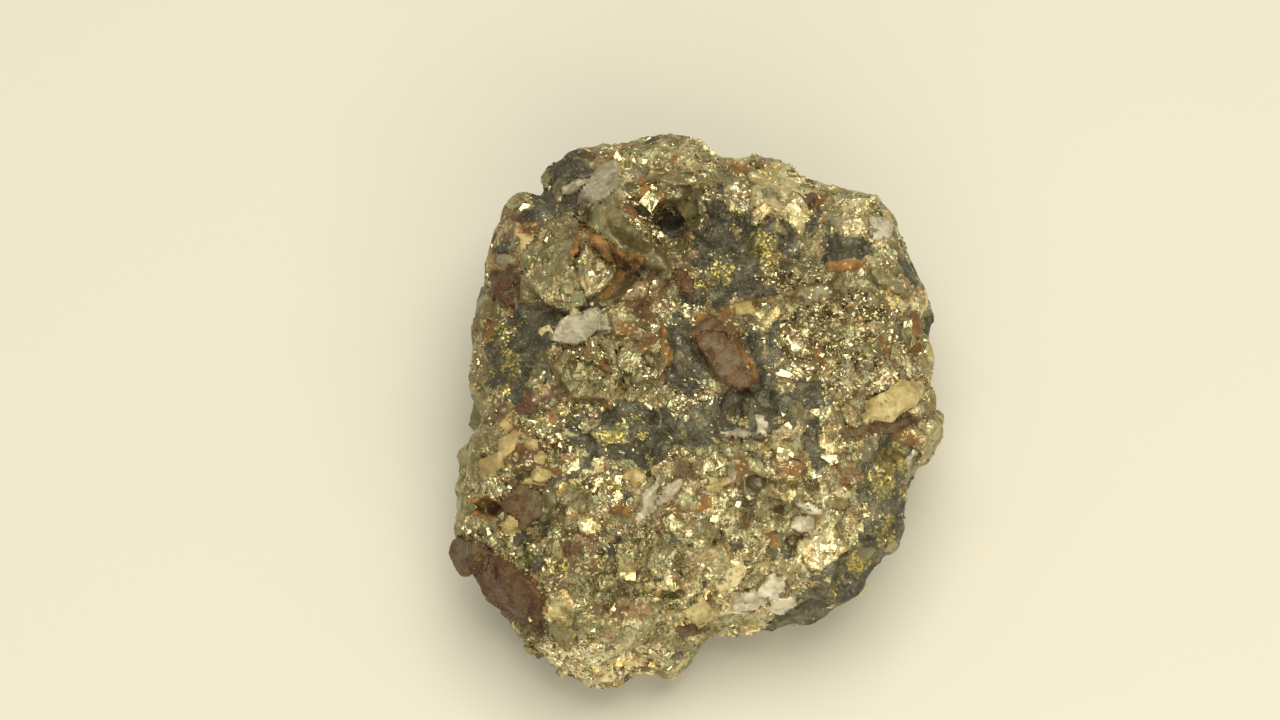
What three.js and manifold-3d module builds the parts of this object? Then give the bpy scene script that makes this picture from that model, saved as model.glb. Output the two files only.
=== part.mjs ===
// A hand specimen of pyrite ore: one broken lump of sulphide breccia, in which angular clasts of
// pyrite, jasper and quartz are bound by dark veins. Millimetres, +Z up, lying on the flat spot
// below its middle. The broken face is described as seen from the front, VIEW_TILT above the
// horizon: u runs to the right and v up that view, from the middle of the lump.
import * as THREE from "three";
import { ConvexGeometry } from "three/addons/geometries/ConvexGeometry.js";
import { ImprovedNoise } from "three/addons/math/ImprovedNoise.js";
import { mergeVertices } from "three/addons/utils/BufferGeometryUtils.js";
import Module from "manifold-3d";

const wasm = await Module();
wasm.setup();

// Driving dimensions.
const VIEW_TILT = THREE.MathUtils.degToRad(62);
const MIDDLE_HEIGHT = 12; // height that the view's middle line passes through
const CROWN_HEIGHT = 24; // the broken face above the ground, before its relief
const BASE_SINK = 1.2; // how far the rounded underside would reach below the ground if uncut
const MEAN_RADIUS = 26;
const SHOULDER = 3.2; // superellipse power of the upper half: higher is flatter with a tighter edge
const UNDERCUT = 2.1; // the same for the lower half
const CLAST_COVER = 0.7; // how far the clasts stand out of the core all round
const CLAST_ROOT = 1.1; // how far a clast goes down into the core at its rim
const CLAST_TOP = 0.8; // a clast's top as a share of its foot
const CLAST_DIP = 0.24; // steepest slope of a clast's top against the surface below it
const HOLLOW_FLOOR = 0.5; // a hollow's floor as a share of its mouth
const CORE_DETAIL = 12; // divisions of the sphere that the core is shaped from

// Relief of the core: broad unevenness, then broken facets of two sizes.
const SWELLING = { size: 8, height: 0.9 };
const BROKEN_FACES = { size: 4.8, height: 1.7 };
const BROKEN_GRAINS = { size: 2.4, height: 0.8 };

// Flat breaks that run from the girdle down under the lump: which way each faces, and how far
// inside the girdle it starts.
const BREAKS = [
  { azimuth: -112, elevation: -34, bite: 0.6 },
  { azimuth: -62, elevation: -28, bite: 0.4 },
  { azimuth: -18, elevation: -40, bite: 0.8 },
  { azimuth: 36, elevation: -30, bite: 0.5 },
  { azimuth: 82, elevation: -38, bite: 0.6 },
  { azimuth: 130, elevation: -32, bite: 0.5 },
  { azimuth: 172, elevation: -42, bite: 0.6 },
  { azimuth: 214, elevation: -30, bite: 0.5 },
];

// The widest girdle of the lump, anticlockwise from the right: u, v and height above the ground.
const GIRDLE = [
  [24.0, 1.0, 9.5], [23.6, 4.2, 10], [23.5, 6.5, 11], [24.1, 8.8, 12], [23.7, 11.2, 12.5],
  [23.4, 13.8, 13], [21.4, 17.8, 14], [19.8, 20.0, 14], [17.6, 21.7, 14], [13.2, 22.9, 14.5],
  [9.2, 24.4, 14.5], [6.6, 25.0, 15], [2.5, 25.4, 15], [0.2, 26.3, 15], [-2.2, 27.8, 14.5],
  [-4.8, 28.1, 14.5], [-6.6, 26.8, 15], [-8.4, 25.9, 15], [-10.6, 26.1, 15], [-13.4, 24.6, 14],
  [-15.4, 21.8, 13.5], [-16.4, 18.9, 13], [-19.2, 18.8, 13], [-21.0, 16.6, 12.5],
  [-21.8, 12.8, 12], [-22.8, 10.6, 11], [-22.6, 4.2, 10], [-22.2, -2.0, 9.5], [-23.7, -6.4, 9],
  [-24.5, -9.2, 8.5], [-24.4, -11.6, 8], [-24.7, -14.0, 8], [-23.9, -16.5, 8], [-22.0, -18.3, 8],
  [-18.5, -21.8, 7.5], [-15.2, -24.6, 6.5], [-12.5, -26.4, 6], [-10.4, -27.3, 5.5],
  [-6.4, -26.5, 5.5], [-1.5, -25.0, 6], [0.3, -23.4, 6.5], [1.8, -21.9, 7], [6.2, -21.2, 7],
  [9.5, -21.2, 7], [12.4, -20.9, 7], [14.6, -19.6, 7], [17.6, -17.3, 7.5], [20.8, -14.9, 8],
  [22.0, -12.5, 8], [21.8, -9.8, 8.5], [22.8, -6.4, 9], [23.9, -3.4, 9], [24.2, -1.2, 9],
];

// Broad swells and dips of the broken face: middle, reach and height.
const SWELLS = [
  { u: -12, v: 14, reach: 7, height: 1.2 },
  { u: -3, v: 20, reach: 5, height: -1.6 },
  { u: 8, v: 20, reach: 5, height: 0.6 },
  { u: 2.8, v: 13.5, reach: 4, height: -1.0 },
  { u: 16, v: 8, reach: 6, height: 0.9 },
  { u: -8, v: 4.5, reach: 5, height: 1.0 },
  { u: 5, v: -0.5, reach: 4, height: -1.3 },
  { u: -18, v: 5, reach: 4, height: -1.1 },
  { u: 1, v: -11, reach: 7, height: 1.2 },
  { u: -20, v: -9.5, reach: 3.5, height: -0.9 },
  { u: 17, v: -9, reach: 5, height: -0.8 },
];

// Angular clasts that stand out of the face: middle, size along and across, turn, and rise.
const CLASTS = {
  topLobe: { u: -3.8, v: 25.8, along: 8.0, across: 4.2, turn: -4, rise: 1.1, corners: 8 },
  cornerLump: { u: -11.8, v: 23.7, along: 8.4, across: 4.8, turn: 16, rise: 1.0, corners: 7 },
  mottledClast: { u: -18.5, v: 15.8, along: 8.2, across: 5.0, turn: 76, rise: 1.1, corners: 7 },
  pyriteWedge: { u: -13.0, v: 14.6, along: 11, across: 8.6, turn: 38, rise: 1.0, corners: 5 },
  wedgeBlock: { u: -9.9, v: 14.4, along: 6.4, across: 4.6, turn: 68, rise: 2.1, corners: 4 },
  oliveBlade: { u: -7.4, v: 17.6, along: 9.6, across: 2.4, turn: -42, rise: 2.4, corners: 6 },
  cavityRidge: { u: -2.3, v: 23.0, along: 6.4, across: 1.7, turn: 2, rise: 1.0, corners: 6 },
  grainyPyrite: { u: 2.6, v: 20.8, along: 6.0, across: 5.0, turn: 20, rise: 0.9, corners: 6 },
  paleClast: { u: 8.6, v: 20.4, along: 7.4, across: 5.8, turn: -30, rise: 1.0, corners: 5 },
  cornerQuartz: { u: 17.7, v: 17.4, along: 4.2, across: 3.2, turn: -35, rise: 0.7, corners: 6 },
  darkCorner: { u: 14.2, v: 14.8, along: 5.2, across: 4.4, turn: 10, rise: 0.7, corners: 5 },
  copperKnob: { u: 7.2, v: 16.9, along: 4.6, across: 3.8, turn: 15, rise: 0.9, corners: 7 },
  jasperBand: { u: -4.6, v: 12.0, along: 9.4, across: 2.8, turn: 39, rise: 1.4, corners: 6 },
  quartzClast: { u: -12.0, v: 8.3, along: 6.2, across: 3.6, turn: 28, rise: 1.1, corners: 6 },
  edgeClast: { u: -21.2, v: 9.7, along: 4.4, across: 2.8, turn: 80, rise: 0.9, corners: 5 },
  centreBlock: { u: -9.6, v: 4.2, along: 6.4, across: 6.4, turn: 10, rise: 1.3, corners: 5 },
  centreSlab: { u: -5.4, v: 5.0, along: 5.8, across: 6.6, turn: -20, rise: 1.8, corners: 5 },
  amberBlade: { u: -3.2, v: 6.4, along: 5.6, across: 1.5, turn: 96, rise: 1.4, corners: 5 },
  redJasper: { u: 2.5, v: 5.7, along: 6.6, across: 4.4, turn: -48, rise: 1.1, corners: 5 },
  copperVein: { u: -7.2, v: -2.1, along: 9.0, across: 4.0, turn: 6, rise: 0.7, corners: 7 },
  creamClast: { u: 19.4, v: 1.2, along: 6.6, across: 3.2, turn: 26, rise: 0.9, corners: 6 },
  glitterBoss: { u: 13.6, v: 3.2, along: 6.0, across: 5.6, turn: -10, rise: 1.1, corners: 7 },
  glitterRidge: { u: 14.8, v: 9.6, along: 9.0, across: 5.2, turn: -22, rise: 1.0, corners: 6 },
  edgeCrystal: { u: 22.3, v: -2.9, along: 6.4, across: 3.0, turn: -108, rise: 1.3, corners: 5 },
  tanClast: { u: -19.0, v: -4.1, along: 4.8, across: 2.2, turn: 44, rise: 0.9, corners: 6 },
  creamGrains: { u: -15.9, v: -5.0, along: 4.6, across: 4.0, turn: 60, rise: 0.9, corners: 7 },
  redClast: { u: -16.9, v: -9.8, along: 4.8, across: 3.8, turn: 62, rise: 1.1, corners: 5 },
  shellClast: { u: -14.7, v: -9.0, along: 3.4, across: 1.9, turn: 84, rise: 1.3, corners: 8 },
  redLump: { u: -22.6, v: -14.3, along: 4.8, across: 3.8, turn: -68, rise: 1.2, corners: 8 },
  darkJasper: { u: -18.6, v: -17.6, along: 8.6, across: 4.6, turn: -44, rise: 1.0, corners: 5 },
  quartzBar: { u: 6.4, v: -18.3, along: 7.8, across: 2.8, turn: 14, rise: 0.9, corners: 6 },
  creamCube: { u: 0.3, v: -19.3, along: 3.0, across: 2.6, turn: 8, rise: 1.0, corners: 4 },
  bottomLobe: { u: -9.2, v: -22.0, along: 15, across: 7.0, turn: 4, rise: 0.9, corners: 8 },
  fieldBlockA: { u: -8.6, v: -7.4, along: 5.4, across: 4.2, turn: 30, rise: 1.1, corners: 5 },
  fieldBlockB: { u: -3.0, v: -6.4, along: 5.6, across: 3.8, turn: 12, rise: 1.1, corners: 5 },
  fieldBlockC: { u: 4.8, v: -6.2, along: 6.0, across: 4.2, turn: 18, rise: 1.3, corners: 6 },
  fieldBlockD: { u: 8.8, v: -5.4, along: 4.8, across: 4.0, turn: -24, rise: 1.2, corners: 5 },
  fieldBlockE: { u: -1.6, v: -11.4, along: 6.2, across: 5.0, turn: -15, rise: 1.2, corners: 6 },
  fieldBlockF: { u: 3.6, v: -14.8, along: 7.0, across: 5.4, turn: 10, rise: 1.0, corners: 8 },
  fieldBlockG: { u: 11.2, v: -13.6, along: 5.8, across: 4.4, turn: 32, rise: 1.4, corners: 5 },
  fieldBlockH: { u: 11.8, v: -8.8, along: 5.2, across: 3.8, turn: -8, rise: 1.0, corners: 5 },
  fieldBlockJ: { u: -6.6, v: -14.6, along: 4.2, across: 4.8, turn: 4, rise: 1.2, corners: 4 },
  veinKnobA: { u: 18.6, v: -6.0, along: 5.2, across: 4.6, turn: 60, rise: 0.7, corners: 7 },
  veinKnobB: { u: 15.8, v: -14.3, along: 6.6, across: 4.4, turn: 50, rise: 0.7, corners: 7 },
};

// Pits and open cracks, cut after the clasts are on: the same view, with a depth.
const HOLLOWS = {
  darkCavity: { u: -2.9, v: 19.8, along: 5.6, across: 4.2, turn: 10, depth: 4.2 },
  cavityMouth: { u: -5.4, v: 20.4, along: 3.6, across: 2.6, turn: -35, depth: 2.0 },
  amberSlot: { u: -7.6, v: 15.4, along: 5.6, across: 1.3, turn: -50, depth: 1.8 },
  wedgeGap: { u: -6.2, v: 13.4, along: 3.6, across: 1.6, turn: 50, depth: 1.6 },
  veinDip: { u: 3.4, v: 1.4, along: 6.0, across: 1.8, turn: 40, depth: 1.2 },
  rustyPit: { u: -20.8, v: -9.5, along: 3.8, across: 2.2, turn: -12, depth: 2.6 },
  hookGap: { u: -17.8, v: -6.6, along: 5.4, across: 0.9, turn: 28, depth: 1.4 },
  leftCrack: { u: -13.0, v: -11.6, along: 8.4, across: 0.6, turn: 17, depth: 1.2 },
  fieldGap: { u: 7.6, v: -8.9, along: 3.0, across: 2.0, turn: -50, depth: 1.5 },
  ridgeGap: { u: 8.6, v: 11.1, along: 3.0, across: 0.9, turn: -8, depth: 1.3 },
  lobeStep: { u: -4.0, v: -17.6, along: 10.0, across: 0.8, turn: 3, depth: 1.0 },
  redNotch: { u: -20.6, v: -15.3, along: 3.4, across: 0.8, turn: 40, depth: 1.2 },
};

// Pyrite crystals bedded in the grainy patches: middle, reach, how many and their largest edge.
const CRYSTAL_PATCHES = [
  { u: 16.5, v: 8.0, reachU: 6.4, reachV: 6.2, count: 9, edge: 1.9 },
  { u: 3.0, v: -10.5, reachU: 11, reachV: 6.5, count: 13, edge: 2.2 },
  { u: -8.5, v: -21.5, reachU: 8, reachV: 4.4, count: 7, edge: 1.8 },
  { u: -13.5, v: 14.5, reachU: 4.5, reachV: 4, count: 4, edge: 1.6 },
  { u: -8.0, v: 4.6, reachU: 5, reachV: 3.6, count: 4, edge: 1.6 },
  { u: 2.0, v: 22.0, reachU: 7, reachV: 2.6, count: 4, edge: 1.6 },
];

// The unnamed clasts of the sides and underside: how many spots are tried all round, and the
// least and greatest size and rise.
const SIDE_CLASTS = { spots: 32, along: [6, 11], across: [4.5, 7.5], rise: [0.5, 1.3] };

// A repeatable random number from 0 to 1.
function randomFrom(seed) {
  let state = seed;
  return () => {
    state = (state + 0x6d2b79f5) | 0;
    let mixed = Math.imul(state ^ (state >>> 15), 1 | state);
    mixed = (mixed + Math.imul(mixed ^ (mixed >>> 7), 61 | mixed)) ^ mixed;
    return ((mixed ^ (mixed >>> 14)) >>> 0) / 4294967296;
  };
}

const random = randomFrom(11);
const between = (low, high) => low + (high - low) * random();
const degrees = THREE.MathUtils.degToRad;
const towardsEye = new THREE.Vector3(0, -Math.cos(VIEW_TILT), Math.sin(VIEW_TILT));

// The point in space that is seen at u, v and lies at the given height.
function seenAt(u, v, height) {
  const rise = (height - MIDDLE_HEIGHT) * Math.cos(VIEW_TILT);
  return new THREE.Vector3(u, (v - rise) / Math.sin(VIEW_TILT), height);
}

// The girdle as radius and height for each angle about the vertical axis.
function girdleTable(steps) {
  const curve = new THREE.CatmullRomCurve3(
    GIRDLE.map(([u, v, height]) => seenAt(u, v, height)), true, "centripetal");
  const samples = curve.getSpacedPoints(steps * 4).map((p) => ({
    angle: (Math.atan2(p.y, p.x) + 2 * Math.PI) % (2 * Math.PI),
    radius: Math.hypot(p.x, p.y),
    height: p.z,
  }));
  samples.sort((a, b) => a.angle - b.angle);
  const table = [];
  for (let i = 0, k = 0; i < steps; i++) {
    const angle = (i / steps) * 2 * Math.PI;
    while (k < samples.length - 1 && samples[k].angle < angle) k++;
    table.push(samples[k]);
  }
  return table;
}

const girdle = girdleTable(720);

function girdleAt(angle) {
  const place = ((angle / (2 * Math.PI)) % 1 + 1) % 1 * girdle.length;
  const low = girdle[Math.floor(place) % girdle.length];
  const high = girdle[Math.ceil(place) % girdle.length];
  const share = place - Math.floor(place);
  return {
    radius: THREE.MathUtils.lerp(low.radius, high.radius, share),
    height: THREE.MathUtils.lerp(low.height, high.height, share),
  };
}

// Turns a share of the half sphere's area into the same share of a superellipse cap's area, so
// that the core's triangles come out about even. Gives the share of the radius and of the rise.
function evenCap(power, radius, rise) {
  const steps = 240;
  const rows = [{ area: 0, out: 0, up: 1 }];
  for (let i = 1; i <= steps; i++) {
    const angle = (i / steps) * (Math.PI / 2);
    const out = Math.sin(angle) ** (2 / power);
    const up = i === steps ? 0 : Math.cos(angle) ** (2 / power);
    const last = rows[i - 1];
    const slant = Math.hypot((out - last.out) * radius, (up - last.up) * rise);
    rows.push({ area: last.area + ((out + last.out) / 2) * slant, out, up });
  }
  const whole = rows[steps].area;
  return (share) => {
    let i = 1;
    while (i < steps && rows[i].area < share * whole) i++;
    const part = (share * whole - rows[i - 1].area) / (rows[i].area - rows[i - 1].area);
    const t = THREE.MathUtils.clamp(part, 0, 1);
    return {
      out: THREE.MathUtils.lerp(rows[i - 1].out, rows[i].out, t),
      up: THREE.MathUtils.lerp(rows[i - 1].up, rows[i].up, t),
    };
  };
}

const upperCap = evenCap(SHOULDER, MEAN_RADIUS, CROWN_HEIGHT - MIDDLE_HEIGHT);
const lowerCap = evenCap(UNDERCUT, MEAN_RADIUS, MIDDLE_HEIGHT);

function swellAt(x, y) {
  let height = 0;
  for (const swell of SWELLS) {
    const middle = seenAt(swell.u, swell.v, CROWN_HEIGHT - 1);
    const away = Math.hypot(x - middle.x, y - middle.y) / swell.reach;
    height += swell.height * Math.exp(-away * away);
  }
  return height;
}

// The smooth lump, before its surface is broken up.
function smoothPoint(direction) {
  const angle = Math.atan2(direction.y, direction.x);
  const rim = girdleAt(angle);
  const upper = direction.z >= 0;
  const cap = (upper ? upperCap : lowerCap)(1 - Math.abs(direction.z));
  const x = Math.cos(angle) * rim.radius * cap.out;
  const y = Math.sin(angle) * rim.radius * cap.out;
  const far = upper ? CROWN_HEIGHT + swellAt(x, y) : -BASE_SINK;
  return new THREE.Vector3(x, y, rim.height + (far - rim.height) * cap.up);
}

// Moves a point that lies past one of the flat breaks straight in to it.
function brokenBack(point) {
  const middle = new THREE.Vector3(0, 0, MIDDLE_HEIGHT);
  const arm = point.clone().sub(middle);
  for (const { azimuth, elevation, bite } of BREAKS) {
    const level = Math.cos(degrees(elevation));
    const down = Math.sin(degrees(elevation));
    const facing = new THREE.Vector3(
      level * Math.cos(degrees(azimuth)), level * Math.sin(degrees(azimuth)), down);
    const rim = girdleAt(degrees(azimuth));
    const distance = rim.radius * level + (rim.height - MIDDLE_HEIGHT) * down - bite;
    const reach = arm.dot(facing);
    if (reach > distance) arm.multiplyScalar(distance / reach);
  }
  return middle.add(arm);
}

// Flat facets with steps between them, as broken rock has: each cell of a jittered lattice
// tilts its own way, and the nearest cell's tilt gives the height.
function brokenFacets(point, { size, height }) {
  const home = point.clone().divideScalar(size);
  const cell = home.clone().floor();
  let nearest = Infinity;
  let value = 0;
  for (let i = -1; i <= 1; i++) {
    for (let j = -1; j <= 1; j++) {
      for (let k = -1; k <= 1; k++) {
        const corner = cell.clone().add(new THREE.Vector3(i, j, k));
        const draw = randomFrom(Math.round(corner.x * 73856 + corner.y * 19349 + corner.z * 83492));
        draw();
        const middle = corner.add(new THREE.Vector3(draw(), draw(), draw()));
        const offset = home.clone().sub(middle);
        const tilt = new THREE.Vector3(draw() - 0.5, draw() - 0.5, draw() - 0.5);
        if (offset.lengthSq() < nearest) {
          nearest = offset.lengthSq();
          value = 1.6 * tilt.dot(offset) + (draw() - 0.5);
        }
      }
    }
  }
  return value * height;
}

const noise = new ImprovedNoise();

// Breaks a smooth closed mesh up into facets, each corner moving along its own normal.
function roughen(geometry) {
  const position = geometry.getAttribute("position");
  const normal = geometry.getAttribute("normal");
  const corner = new THREE.Vector3();
  const outward = new THREE.Vector3();
  for (let i = 0; i < position.count; i++) {
    corner.fromBufferAttribute(position, i);
    outward.fromBufferAttribute(normal, i);
    const height = brokenFacets(corner, BROKEN_FACES) + brokenFacets(corner, BROKEN_GRAINS);
    corner.addScaledVector(outward, height);
    position.setXYZ(i, corner.x, corner.y, corner.z);
  }
  geometry.computeVertexNormals();
}

function coreGeometry() {
  const geometry = new THREE.IcosahedronGeometry(1, CORE_DETAIL);
  geometry.deleteAttribute("normal");
  geometry.deleteAttribute("uv");
  const core = mergeVertices(geometry, 1e-4);
  const position = core.getAttribute("position");
  const corner = new THREE.Vector3();
  for (let i = 0; i < position.count; i++) {
    corner.fromBufferAttribute(position, i).normalize();
    const point = brokenBack(smoothPoint(corner));
    const { x, y, z } = point.clone().divideScalar(SWELLING.size);
    const arm = point.clone().sub(new THREE.Vector3(0, 0, MIDDLE_HEIGHT));
    point.addScaledVector(arm.normalize(), noise.noise(x, y, z) * SWELLING.height - CLAST_COVER);
    position.setXYZ(i, point.x, point.y, point.z);
  }
  core.computeVertexNormals();
  roughen(core);
  return core;
}

const core = coreGeometry();
const coreMesh = new THREE.Mesh(core, new THREE.MeshBasicMaterial({ side: THREE.DoubleSide }));

// Where a ray meets the core, and which way the surface faces there.
function landOn(origin, direction) {
  const hits = new THREE.Raycaster(origin, direction).intersectObject(coreMesh);
  return hits.length ? { point: hits[0].point, normal: hits[0].normal } : null;
}

// The same for a point of the described view. Past the outline the nearest inner point is used.
function landOnFace(u, v) {
  for (let share = 1; share > 0.5; share -= 0.02) {
    const aim = seenAt(u * share, v * share, MIDDLE_HEIGHT);
    const hit = landOn(aim.addScaledVector(towardsEye, 100), towardsEye.clone().negate());
    if (hit) return hit;
  }
  throw new Error(`no surface at ${u}, ${v}`);
}

// A closed mesh as a solid for joining and cutting.
function solidOf(geometry) {
  const bare = geometry.clone();
  bare.deleteAttribute("normal");
  bare.deleteAttribute("uv");
  const merged = mergeVertices(bare, 1e-4);
  return new wasm.Manifold(new wasm.Mesh({
    numProp: 3,
    vertProperties: merged.getAttribute("position").array,
    triVerts: new Uint32Array(merged.index.array),
  }));
}

// The corners of an uneven polygon about u, v in the described view.
function polygon({ u, v, along, across, turn }, corners) {
  const start = random();
  const cos = Math.cos(degrees(turn));
  const sin = Math.sin(degrees(turn));
  return Array.from({ length: corners }, (_, k) => {
    const angle = ((k + start + between(-0.22, 0.22)) / corners) * 2 * Math.PI;
    const reach = between(0.82, 1.14);
    const a = (along / 2) * reach * Math.cos(angle);
    const b = (across / 2) * reach * Math.sin(angle);
    return { u: u + a * cos - b * sin, v: v + a * sin + b * cos, a, b };
  });
}

// A clast with a broken, slightly dipping top and steep sides, rooted in the core.
function clast(shape) {
  const points = [];
  const dip = { a: between(-CLAST_DIP, CLAST_DIP), b: between(-CLAST_DIP, CLAST_DIP) };
  for (const corner of polygon(shape, shape.corners)) {
    const foot = landOnFace(corner.u, corner.v);
    const inner = landOnFace(
      THREE.MathUtils.lerp(shape.u, corner.u, CLAST_TOP),
      THREE.MathUtils.lerp(shape.v, corner.v, CLAST_TOP));
    const lift = shape.rise * between(0.75, 1.1) + corner.a * dip.a + corner.b * dip.b;
    points.push(inner.point.addScaledVector(inner.normal, lift));
    points.push(foot.point.addScaledVector(foot.normal, -CLAST_ROOT));
  }
  const top = landOnFace(shape.u, shape.v);
  points.push(top.point.clone().addScaledVector(top.normal, shape.rise));
  return solidOf(new ConvexGeometry(points));
}

// A pit or crack that narrows downwards.
function hollow(shape) {
  const points = [];
  for (const corner of polygon(shape, 6)) {
    const rim = landOnFace(corner.u, corner.v);
    const floor = landOnFace(
      THREE.MathUtils.lerp(shape.u, corner.u, HOLLOW_FLOOR),
      THREE.MathUtils.lerp(shape.v, corner.v, HOLLOW_FLOOR));
    points.push(rim.point.addScaledVector(rim.normal, 2.2));
    points.push(floor.point.addScaledVector(floor.normal, -shape.depth));
  }
  return solidOf(new ConvexGeometry(points));
}

// A pyrite crystal: a slightly uneven cube, turned at random and sunk to about its middle.
function crystal(hit, edge) {
  const cube = new THREE.BoxGeometry(edge, edge * between(0.75, 1.1), edge * between(0.7, 1.2));
  cube.rotateX(between(0, Math.PI));
  cube.rotateY(between(0, Math.PI));
  cube.rotateZ(between(0, Math.PI));
  const seat = hit.point.clone().addScaledVector(hit.normal, edge * between(-0.08, 0.18));
  cube.translate(seat.x, seat.y, seat.z);
  return solidOf(cube);
}

function crystals() {
  const made = [];
  for (const patch of CRYSTAL_PATCHES) {
    for (let i = 0; i < patch.count; i++) {
      const angle = between(0, 2 * Math.PI);
      const reach = Math.sqrt(random());
      const hit = landOnFace(
        patch.u + patch.reachU * reach * Math.cos(angle),
        patch.v + patch.reachV * reach * Math.sin(angle));
      made.push(crystal(hit, patch.edge * between(0.55, 1)));
    }
  }
  return made;
}

// One unnamed clast, rooted where a ray landed.
function sideClast(centre) {
  const across = new THREE.Vector3(between(-1, 1), between(-1, 1), between(-1, 1));
  across.cross(centre.normal).normalize();
  const along = across.clone().cross(centre.normal);
  const halfAlong = between(...SIDE_CLASTS.along) / 2;
  const halfAcross = between(...SIDE_CLASTS.across) / 2;
  const rise = between(...SIDE_CLASTS.rise);
  const dip = { a: between(-CLAST_DIP, CLAST_DIP), b: between(-CLAST_DIP, CLAST_DIP) };
  const corners = Math.round(between(4.6, 7.4));
  const points = [];
  for (let k = 0; k < corners; k++) {
    const turn = ((k + between(-0.22, 0.22)) / corners) * 2 * Math.PI;
    const a = halfAlong * Math.cos(turn);
    const b = halfAcross * Math.sin(turn);
    for (const [share, lift] of [[CLAST_TOP, rise + a * dip.a + b * dip.b], [1, -CLAST_ROOT]]) {
      const aim = centre.point.clone().addScaledVector(centre.normal, 20)
        .addScaledVector(along, a * share)
        .addScaledVector(across, b * share);
      const hit = landOn(aim, centre.normal.clone().negate());
      if (hit) points.push(hit.point.addScaledVector(hit.normal, lift));
    }
  }
  return solidOf(new ConvexGeometry(points));
}

// Clasts all round the hidden sides, spaced by the golden angle so that none crowd together.
function sideClasts() {
  const made = [];
  const goldenAngle = Math.PI * (3 - Math.sqrt(5));
  for (let i = 0; i < SIDE_CLASTS.spots; i++) {
    const height = 1 - (2 * i + 1) / SIDE_CLASTS.spots;
    const cap = (height > 0 ? upperCap : lowerCap)(1 - Math.abs(height));
    const angle = i * goldenAngle;
    const direction = new THREE.Vector3(
      MEAN_RADIUS * cap.out * Math.cos(angle),
      MEAN_RADIUS * cap.out * Math.sin(angle),
      Math.sign(height) * MIDDLE_HEIGHT * cap.up).normalize();
    const start = new THREE.Vector3(0, 0, MIDDLE_HEIGHT).addScaledVector(direction, 80);
    const centre = landOn(start, direction.clone().negate());
    if (centre.normal.dot(towardsEye) < 0.2) made.push(sideClast(centre));
  }
  return made;
}

// Everything below the ground, cut away to leave the flat spot that the lump lies on.
function ground() {
  const slab = new THREE.BoxGeometry(120, 120, 20);
  slab.translate(0, 0, -10);
  return solidOf(slab);
}

// The solid without the small voids that joining leaves between the clasts and the core.
function outerShell(solid) {
  return solid.decompose().reduce((a, b) => (a.volume() > b.volume() ? a : b));
}

function lump() {
  let solid = solidOf(core);
  for (const piece of sideClasts()) solid = solid.add(piece);
  for (const shape of Object.values(CLASTS)) solid = solid.add(clast(shape));
  for (const shape of Object.values(HOLLOWS)) solid = solid.subtract(hollow(shape));
  for (const piece of crystals()) solid = solid.add(piece);
  return outerShell(solid.subtract(ground()));
}

function geometryOf(solid) {
  const mesh = solid.getMesh();
  const positions = new Float32Array(mesh.numVert * 3);
  for (let i = 0; i < mesh.numVert; i++) {
    positions.set(mesh.vertProperties.subarray(i * mesh.numProp, i * mesh.numProp + 3), i * 3);
  }
  return new THREE.BufferGeometry()
    .setAttribute("position", new THREE.BufferAttribute(positions, 3))
    .setIndex(new THREE.BufferAttribute(mesh.triVerts, 1));
}

// The lump with the middle of its base at the origin.
function centredGeometry() {
  const geometry = geometryOf(lump());
  geometry.computeBoundingBox();
  const middle = geometry.boundingBox.getCenter(new THREE.Vector3());
  geometry.translate(-middle.x, -middle.y, -geometry.boundingBox.min.z);
  geometry.computeVertexNormals();
  return geometry;
}

const brassyOre = new THREE.MeshStandardMaterial({
  color: 0x7d7350, roughness: 0.45, metalness: 0.6, flatShading: true,
});

const oreLump = new THREE.Mesh(centredGeometry(), brassyOre);
oreLump.name = "ore_lump";

const specimen = new THREE.Group();
specimen.add(oreLump);

export default specimen;
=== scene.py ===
import math
from itertools import product

import bmesh
import bpy
import numpy as np
from bpy.props import (
    EnumProperty,
    FloatProperty,
    FloatVectorProperty,
    IntProperty,
    PointerProperty,
)
from mathutils import Matrix, Vector
from mathutils.bvhtree import BVHTree


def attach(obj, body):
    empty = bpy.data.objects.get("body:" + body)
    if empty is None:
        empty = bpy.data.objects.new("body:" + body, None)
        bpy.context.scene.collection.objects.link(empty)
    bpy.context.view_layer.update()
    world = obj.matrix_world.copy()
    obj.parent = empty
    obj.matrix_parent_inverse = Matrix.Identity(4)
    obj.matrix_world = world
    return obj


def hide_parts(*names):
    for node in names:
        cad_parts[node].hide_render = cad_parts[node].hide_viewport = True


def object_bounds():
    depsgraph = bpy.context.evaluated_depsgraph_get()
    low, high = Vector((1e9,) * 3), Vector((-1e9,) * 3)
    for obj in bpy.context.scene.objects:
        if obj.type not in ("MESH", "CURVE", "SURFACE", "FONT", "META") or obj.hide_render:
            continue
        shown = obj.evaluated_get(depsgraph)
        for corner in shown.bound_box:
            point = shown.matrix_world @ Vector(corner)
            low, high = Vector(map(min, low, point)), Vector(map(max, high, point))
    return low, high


bl_info = {
    "name": "Pyrite Ore Specimen",
    "version": (1, 0, 0),
    "blender": (4, 5, 0),
    "location": "View3D > Sidebar > Ore",
    "description": "Dresses a broken lump of pyrite ore: its minerals, grains and studio",
    "category": "Object",
}

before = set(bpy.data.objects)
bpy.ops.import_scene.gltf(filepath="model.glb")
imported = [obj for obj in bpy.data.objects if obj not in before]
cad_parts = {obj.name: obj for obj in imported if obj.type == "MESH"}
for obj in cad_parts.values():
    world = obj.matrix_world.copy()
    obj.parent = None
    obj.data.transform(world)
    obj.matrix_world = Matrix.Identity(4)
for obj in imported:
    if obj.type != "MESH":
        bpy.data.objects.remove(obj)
CAD_BOX = [list(corner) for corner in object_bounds()]

MM = 0.001
CAD_LOW, CAD_HIGH = (np.array(corner) / MM for corner in CAD_BOX)

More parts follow.
